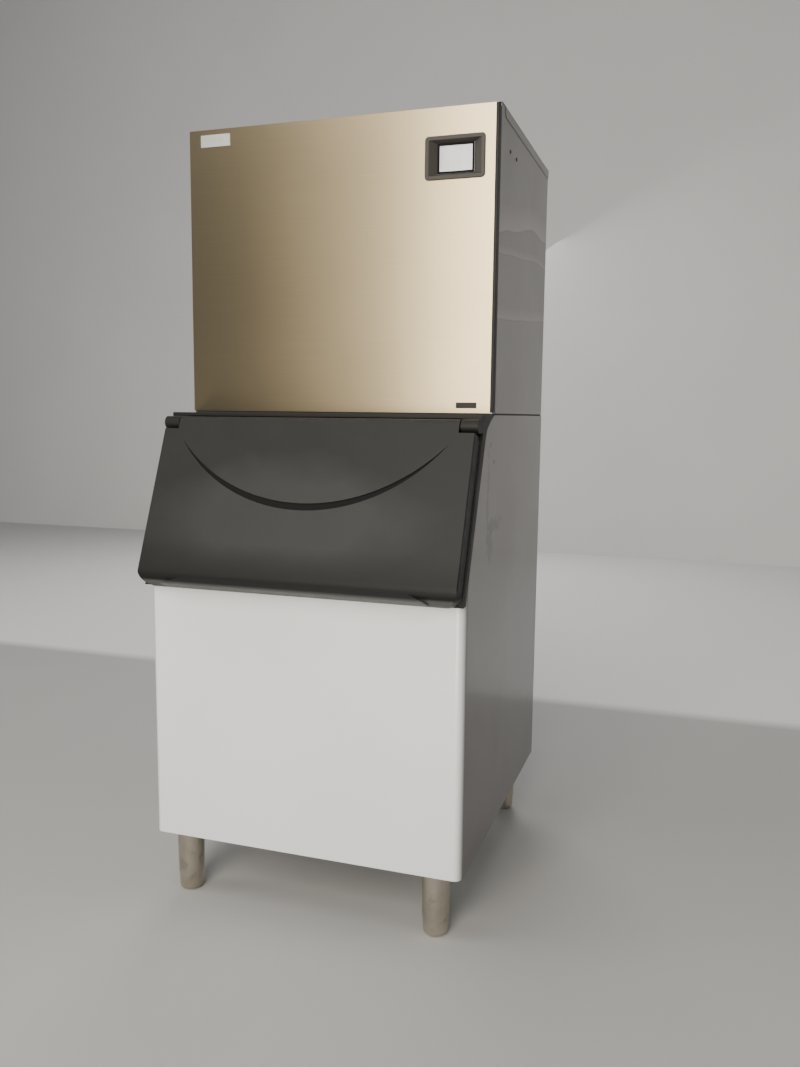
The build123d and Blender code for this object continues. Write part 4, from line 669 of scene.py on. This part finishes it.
# %% Rim of the screen
bezel_low, bezel_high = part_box("display_bezel")
screen_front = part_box("display_screen")[0].y
window_margin = Vector((0.027, 0, 0.015))
rim_width, rim_height, rim_seat, rim_round = 0.0045, 0.0020, 0.0002, 0.0006
middle, size = (bezel_low + bezel_high) / 2, bezel_high - bezel_low - 2 * window_margin
bpy.ops.object.select_all(action="DESELECT")
bpy.ops.mesh.primitive_plane_add(size=1.0, rotation=(pi / 2, 0, 0),
                                location=(middle.x, screen_front - rim_seat, middle.z))
rim = bpy.context.object
rim.name = "screen_rim"
bpy.ops.object.transform_apply(location=False, rotation=True, scale=False)
bpy.ops.object.mode_set(mode="EDIT")
bpy.ops.mesh.select_all(action="SELECT")
bpy.ops.transform.resize(value=(size.x, 1.0, size.z))
bpy.ops.mesh.inset(thickness=rim_width, depth=0.0)
bpy.ops.mesh.delete(type="FACE")
bpy.ops.mesh.select_all(action="SELECT")
bpy.ops.mesh.extrude_region_move(TRANSFORM_OT_translate={"value": (0, -rim_height, 0)})
bpy.ops.mesh.select_all(action="SELECT")
bpy.ops.mesh.normals_make_consistent(inside=False)
bpy.ops.object.mode_set(mode="OBJECT")
bpy.ops.object.transform_apply(location=True, rotation=True, scale=True)
edge = rim.modifiers.new("edge", "BEVEL")
edge.width, edge.segments = rim_round, 3
bpy.ops.object.modifier_apply(modifier=edge.name)
bpy.ops.object.shade_smooth_by_angle(angle=smooth_below)
rim.data.materials.append(groove_shade_and_rim_black)
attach(rim, body_of_node["display_screen"])
print(rim.name, "faces", len(rim.data.polygons))

# %% [markdown]
# ## Floor, backdrop and light
# The floor is plain and pale. Its back part is paler still, and the line between the two shows in the
# glossy side of the machine. The wall stands far back, so every side can be looked at.
# The steel front shows the room in soft upright bands, dark at its left and bright at its right, so
# the light has to do that too: one wide panel stands in front, where the right part of the front
# reflects it, and a dim one beside it gives the soft step in the middle. Four more panels stand
# above, at both sides and behind, and light the top, the sides and the rear.

# %% Stage
def stage_finish(name, colour):
    """Make a matt finish for the floor or wall, with faint clouds, and return its parts."""
    finish, tree, shader, place = new_finish(name, Roughness=0.8)
    cloudy = use_group(tree, clouding, place, Scale=1.2, Low=0.3, High=0.8)
    other = tuple(channel * 0.96 for channel in colour[:3]) + (1,)
    base = blend_of(tree, cloudy["Mask"], colour, other)
    tree.links.new(base, shader.inputs["Base Color"])
    return finish, tree, shader, place, base


floor_side, floor_shift, wall_height, far_line = 16.0, -2.4, 7.0, (1.40, 1.50)
near_grey, far_grey = (0.43, 0.425, 0.415, 1), (0.80, 0.79, 0.775, 1)
bpy.ops.object.select_all(action="DESELECT")
bpy.ops.mesh.primitive_plane_add(size=1.0, location=(0, 0, 0))
floor = bpy.context.object
floor.name = "floor"
bpy.ops.object.mode_set(mode="EDIT")
bpy.ops.transform.resize(value=(floor_side, floor_side, 1.0))
bpy.ops.mesh.select_all(action="DESELECT")
bpy.ops.object.mode_set(mode="OBJECT")
back_edge = max(floor.data.edges, key=lambda e: sum(floor.data.vertices[v].co.y for v in e.vertices))
back_edge.select = True
for index in back_edge.vertices:
    floor.data.vertices[index].select = True
bpy.ops.object.mode_set(mode="EDIT")
bpy.ops.transform.translate(value=(0, floor_shift, 0))
bpy.ops.mesh.extrude_region_move(TRANSFORM_OT_translate={"value": (0, 0, wall_height)})
bpy.ops.object.mode_set(mode="OBJECT")
floor_pale, tree, shader, place, base = stage_finish("floor_pale", near_grey)
behind = tree.nodes.new("ShaderNodeSeparateXYZ")
tree.links.new(place, behind.inputs[0])
far = remap(tree, behind.outputs[1], *far_line, 0.0, 1.0)
tree.links.new(blend_of(tree, far, base, far_grey), shader.inputs["Base Color"])
wall_pale, *_ = stage_finish("wall_pale", far_grey)
floor.data.materials.append(floor_pale)
floor.data.materials.append(wall_pale)
for face in floor.data.polygons:
    face.material_index = 1 if abs(face.normal.y) > 0.9 else 0
print("stage", [round(v, 2) for v in floor.dimensions])

# %% Lights
def soft_panel(name, place, aim, size, power, colour):
    """Add a rectangular soft light that looks at a point."""
    data = bpy.data.lights.new(name, "AREA")
    data.shape, data.size, data.size_y = "RECTANGLE", size[0], size[1]
    data.energy, data.color = power, colour
    panel = bpy.data.objects.new(name, data)
    panel.rotation_mode = "QUATERNION"
    panel.location = place
    panel.rotation_quaternion = (Vector(aim) - Vector(place)).to_track_quat("-Z", "Y")
    bpy.context.collection.objects.link(panel)


warm, mild, neutral = (1.0, 0.945, 0.85), (1.0, 0.98, 0.95), (1.0, 0.99, 0.97)
soft_panel("front_light", (0.25, -4.2, 2.3), (0.25, 0, 2.3), (2.3, 4.4), 300, warm)
soft_panel("left_light", (-1.4, -4.2, 2.3), (-1.4, 0, 2.3), (1.0, 4.4), 11, warm)
soft_panel("top_light", (-0.9, -1.6, 4.4), (0, 0.2, 0.8), (2.0, 2.0), 45, neutral)
soft_panel("right_light", (4.6, 0.4, 2.2), (0, 0.2, 1.0), (2.4, 3.0), 32, mild)
soft_panel("far_left_light", (-5.4, -1.9, 2.2), (0, 0, 1.0), (2.4, 3.4), 90, mild)
soft_panel("rear_light", (-1.5, 4.8, 3.4), (0, 0.3, 1.0), (2.6, 2.6), 120, mild)
world = bpy.data.worlds.new("room")
world.use_nodes = True
sky = world.node_tree.nodes["Background"].inputs
sky["Color"].default_value, sky["Strength"].default_value = (0.74, 0.81, 0.94, 1), 0.13
bpy.context.scene.world = world
